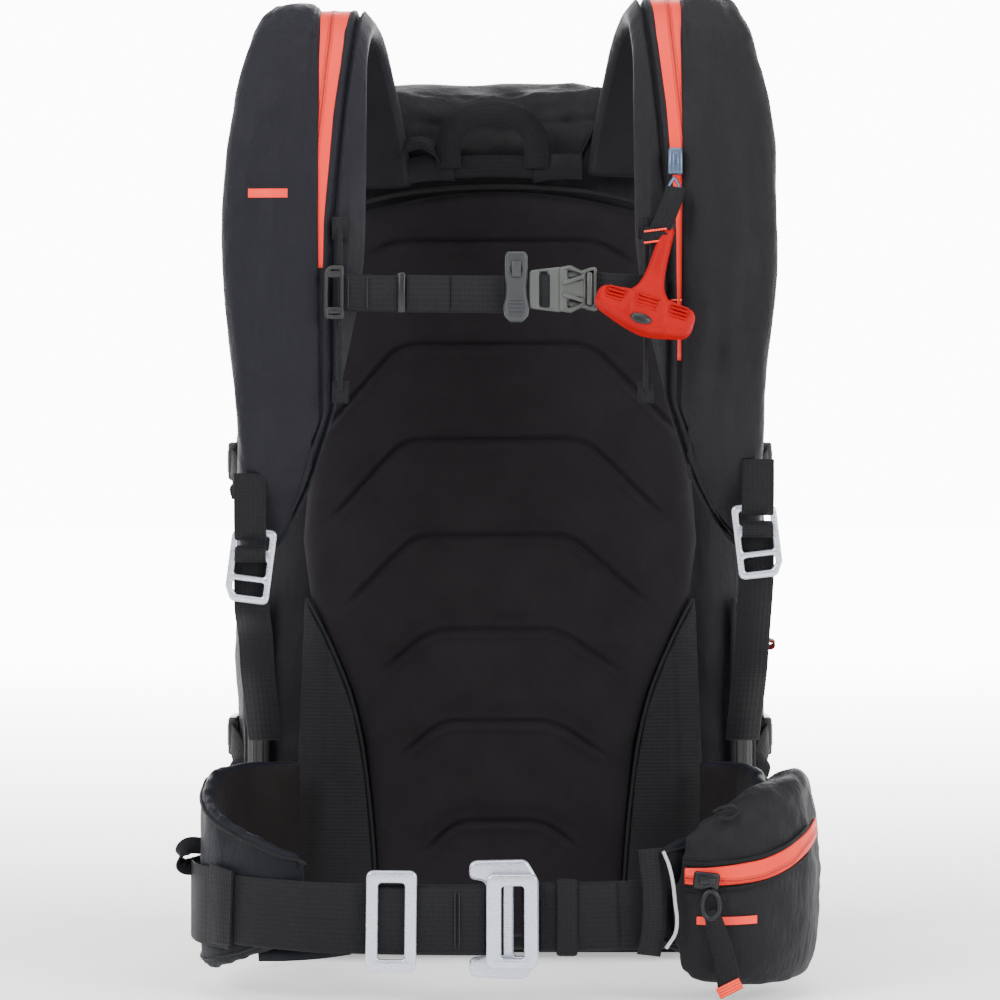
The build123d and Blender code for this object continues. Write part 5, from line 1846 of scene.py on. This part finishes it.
BASE = woven("base_cloth_coated", (0.007, 0.007, 0.0075), pitch=0.0016, ripstop=0.008, rough=0.5, crease=0.4)
make_base()


def make_side_details():
    """The red loop tag at the wearer's left rear and a piping cord along the underside of each strap's outer edge."""
    strip("side_tag", [(156, -60, 190.5), (161, -64, 191), (165.5, -66, 190), (165.5, -66, 187.5), (161, -64,
        186.5)],
          (0.0, 1.0, 0.2), 9, 1.3, TAG, "pack", 20)
    for side, sign in SIDES:
        rows = strap_frames(STRAP_LIFT[side])
        edge = [strap_point(rows, at, strap_edge(rows, at) - 1.5, -7.5, sign)[0]
                for at in [STRAP_TOTAL * (0.1 + 0.85 * k / 11) for k in range(12)]]
        tube(f"strap_edge_piping_{side}", edge, 1.1, BINDING, "pack", 80, 8)


def strap_edge(rows, along):
    for row in rows:
        if row[6] >= along:
            return row[4]
    return rows[-1][4]


TAG = ribbed("red_tag", (0.10, 0.006, 0.006), along=0.001, across=0.002)
make_side_details()

# ---------------------------------------------------------------- inner parts keep their CAD shape

ORANGE_CLOTH = moulded("airbag_nylon", (0.9, 0.16, 0.03), 0.6)
CYLINDER = moulded("cylinder_coat", (0.55, 0.56, 0.58), 0.35)
INNER = {
    "frame_sheet": DARK_PLASTIC, "frame_stays": METAL, "compartment_floor": PACK_CLOTH,
    "airbag": ORANGE_CLOTH,
    "air_cylinder": CYLINDER, "valve_head": METAL, "inflation_hose": DARK_PLASTIC,
    "trigger_cable": DARK_PLASTIC,
}
for node, material in INNER.items():
    nodes[node].data.materials.clear()
    nodes[node].data.materials.append(material)


# ---------------------------------------------------------------- finish

floor_data = bpy.data.meshes.new("floor")
reach = 60.0
floor_data.from_pydata([(-reach, -reach, -0.0003), (reach, -reach, -0.0003), (reach, reach, -0.0003),
                        (-reach, reach, -0.0003)], [], [(0, 1, 2, 3)])
floor = bpy.data.objects.new("floor", floor_data)
scene.collection.objects.link(floor)
# The floor glows as painted light: its emission strength rises from 0.5 near the pack to 12 at 3.6 m towards +Y, so
# the floor behind the pack shines white and also lights the pack.
floor_shader = Shader("glowing_floor", (0.9, 0.9, 0.9), 0.9)
split = floor_shader.node("ShaderNodeSeparateXYZ")
floor_shader.join(floor_shader.place(), split.inputs[0])
glow = floor_shader.remap(split.outputs[1], 0.1, 3.6, 0.5, 12.0)
floor_shader.join(glow, floor_shader.bsdf.inputs["Emission Strength"])
floor_shader.bsdf.inputs["Emission Color"].default_value = (1, 1, 1, 1)
floor_data.materials.append(floor_shader.material)
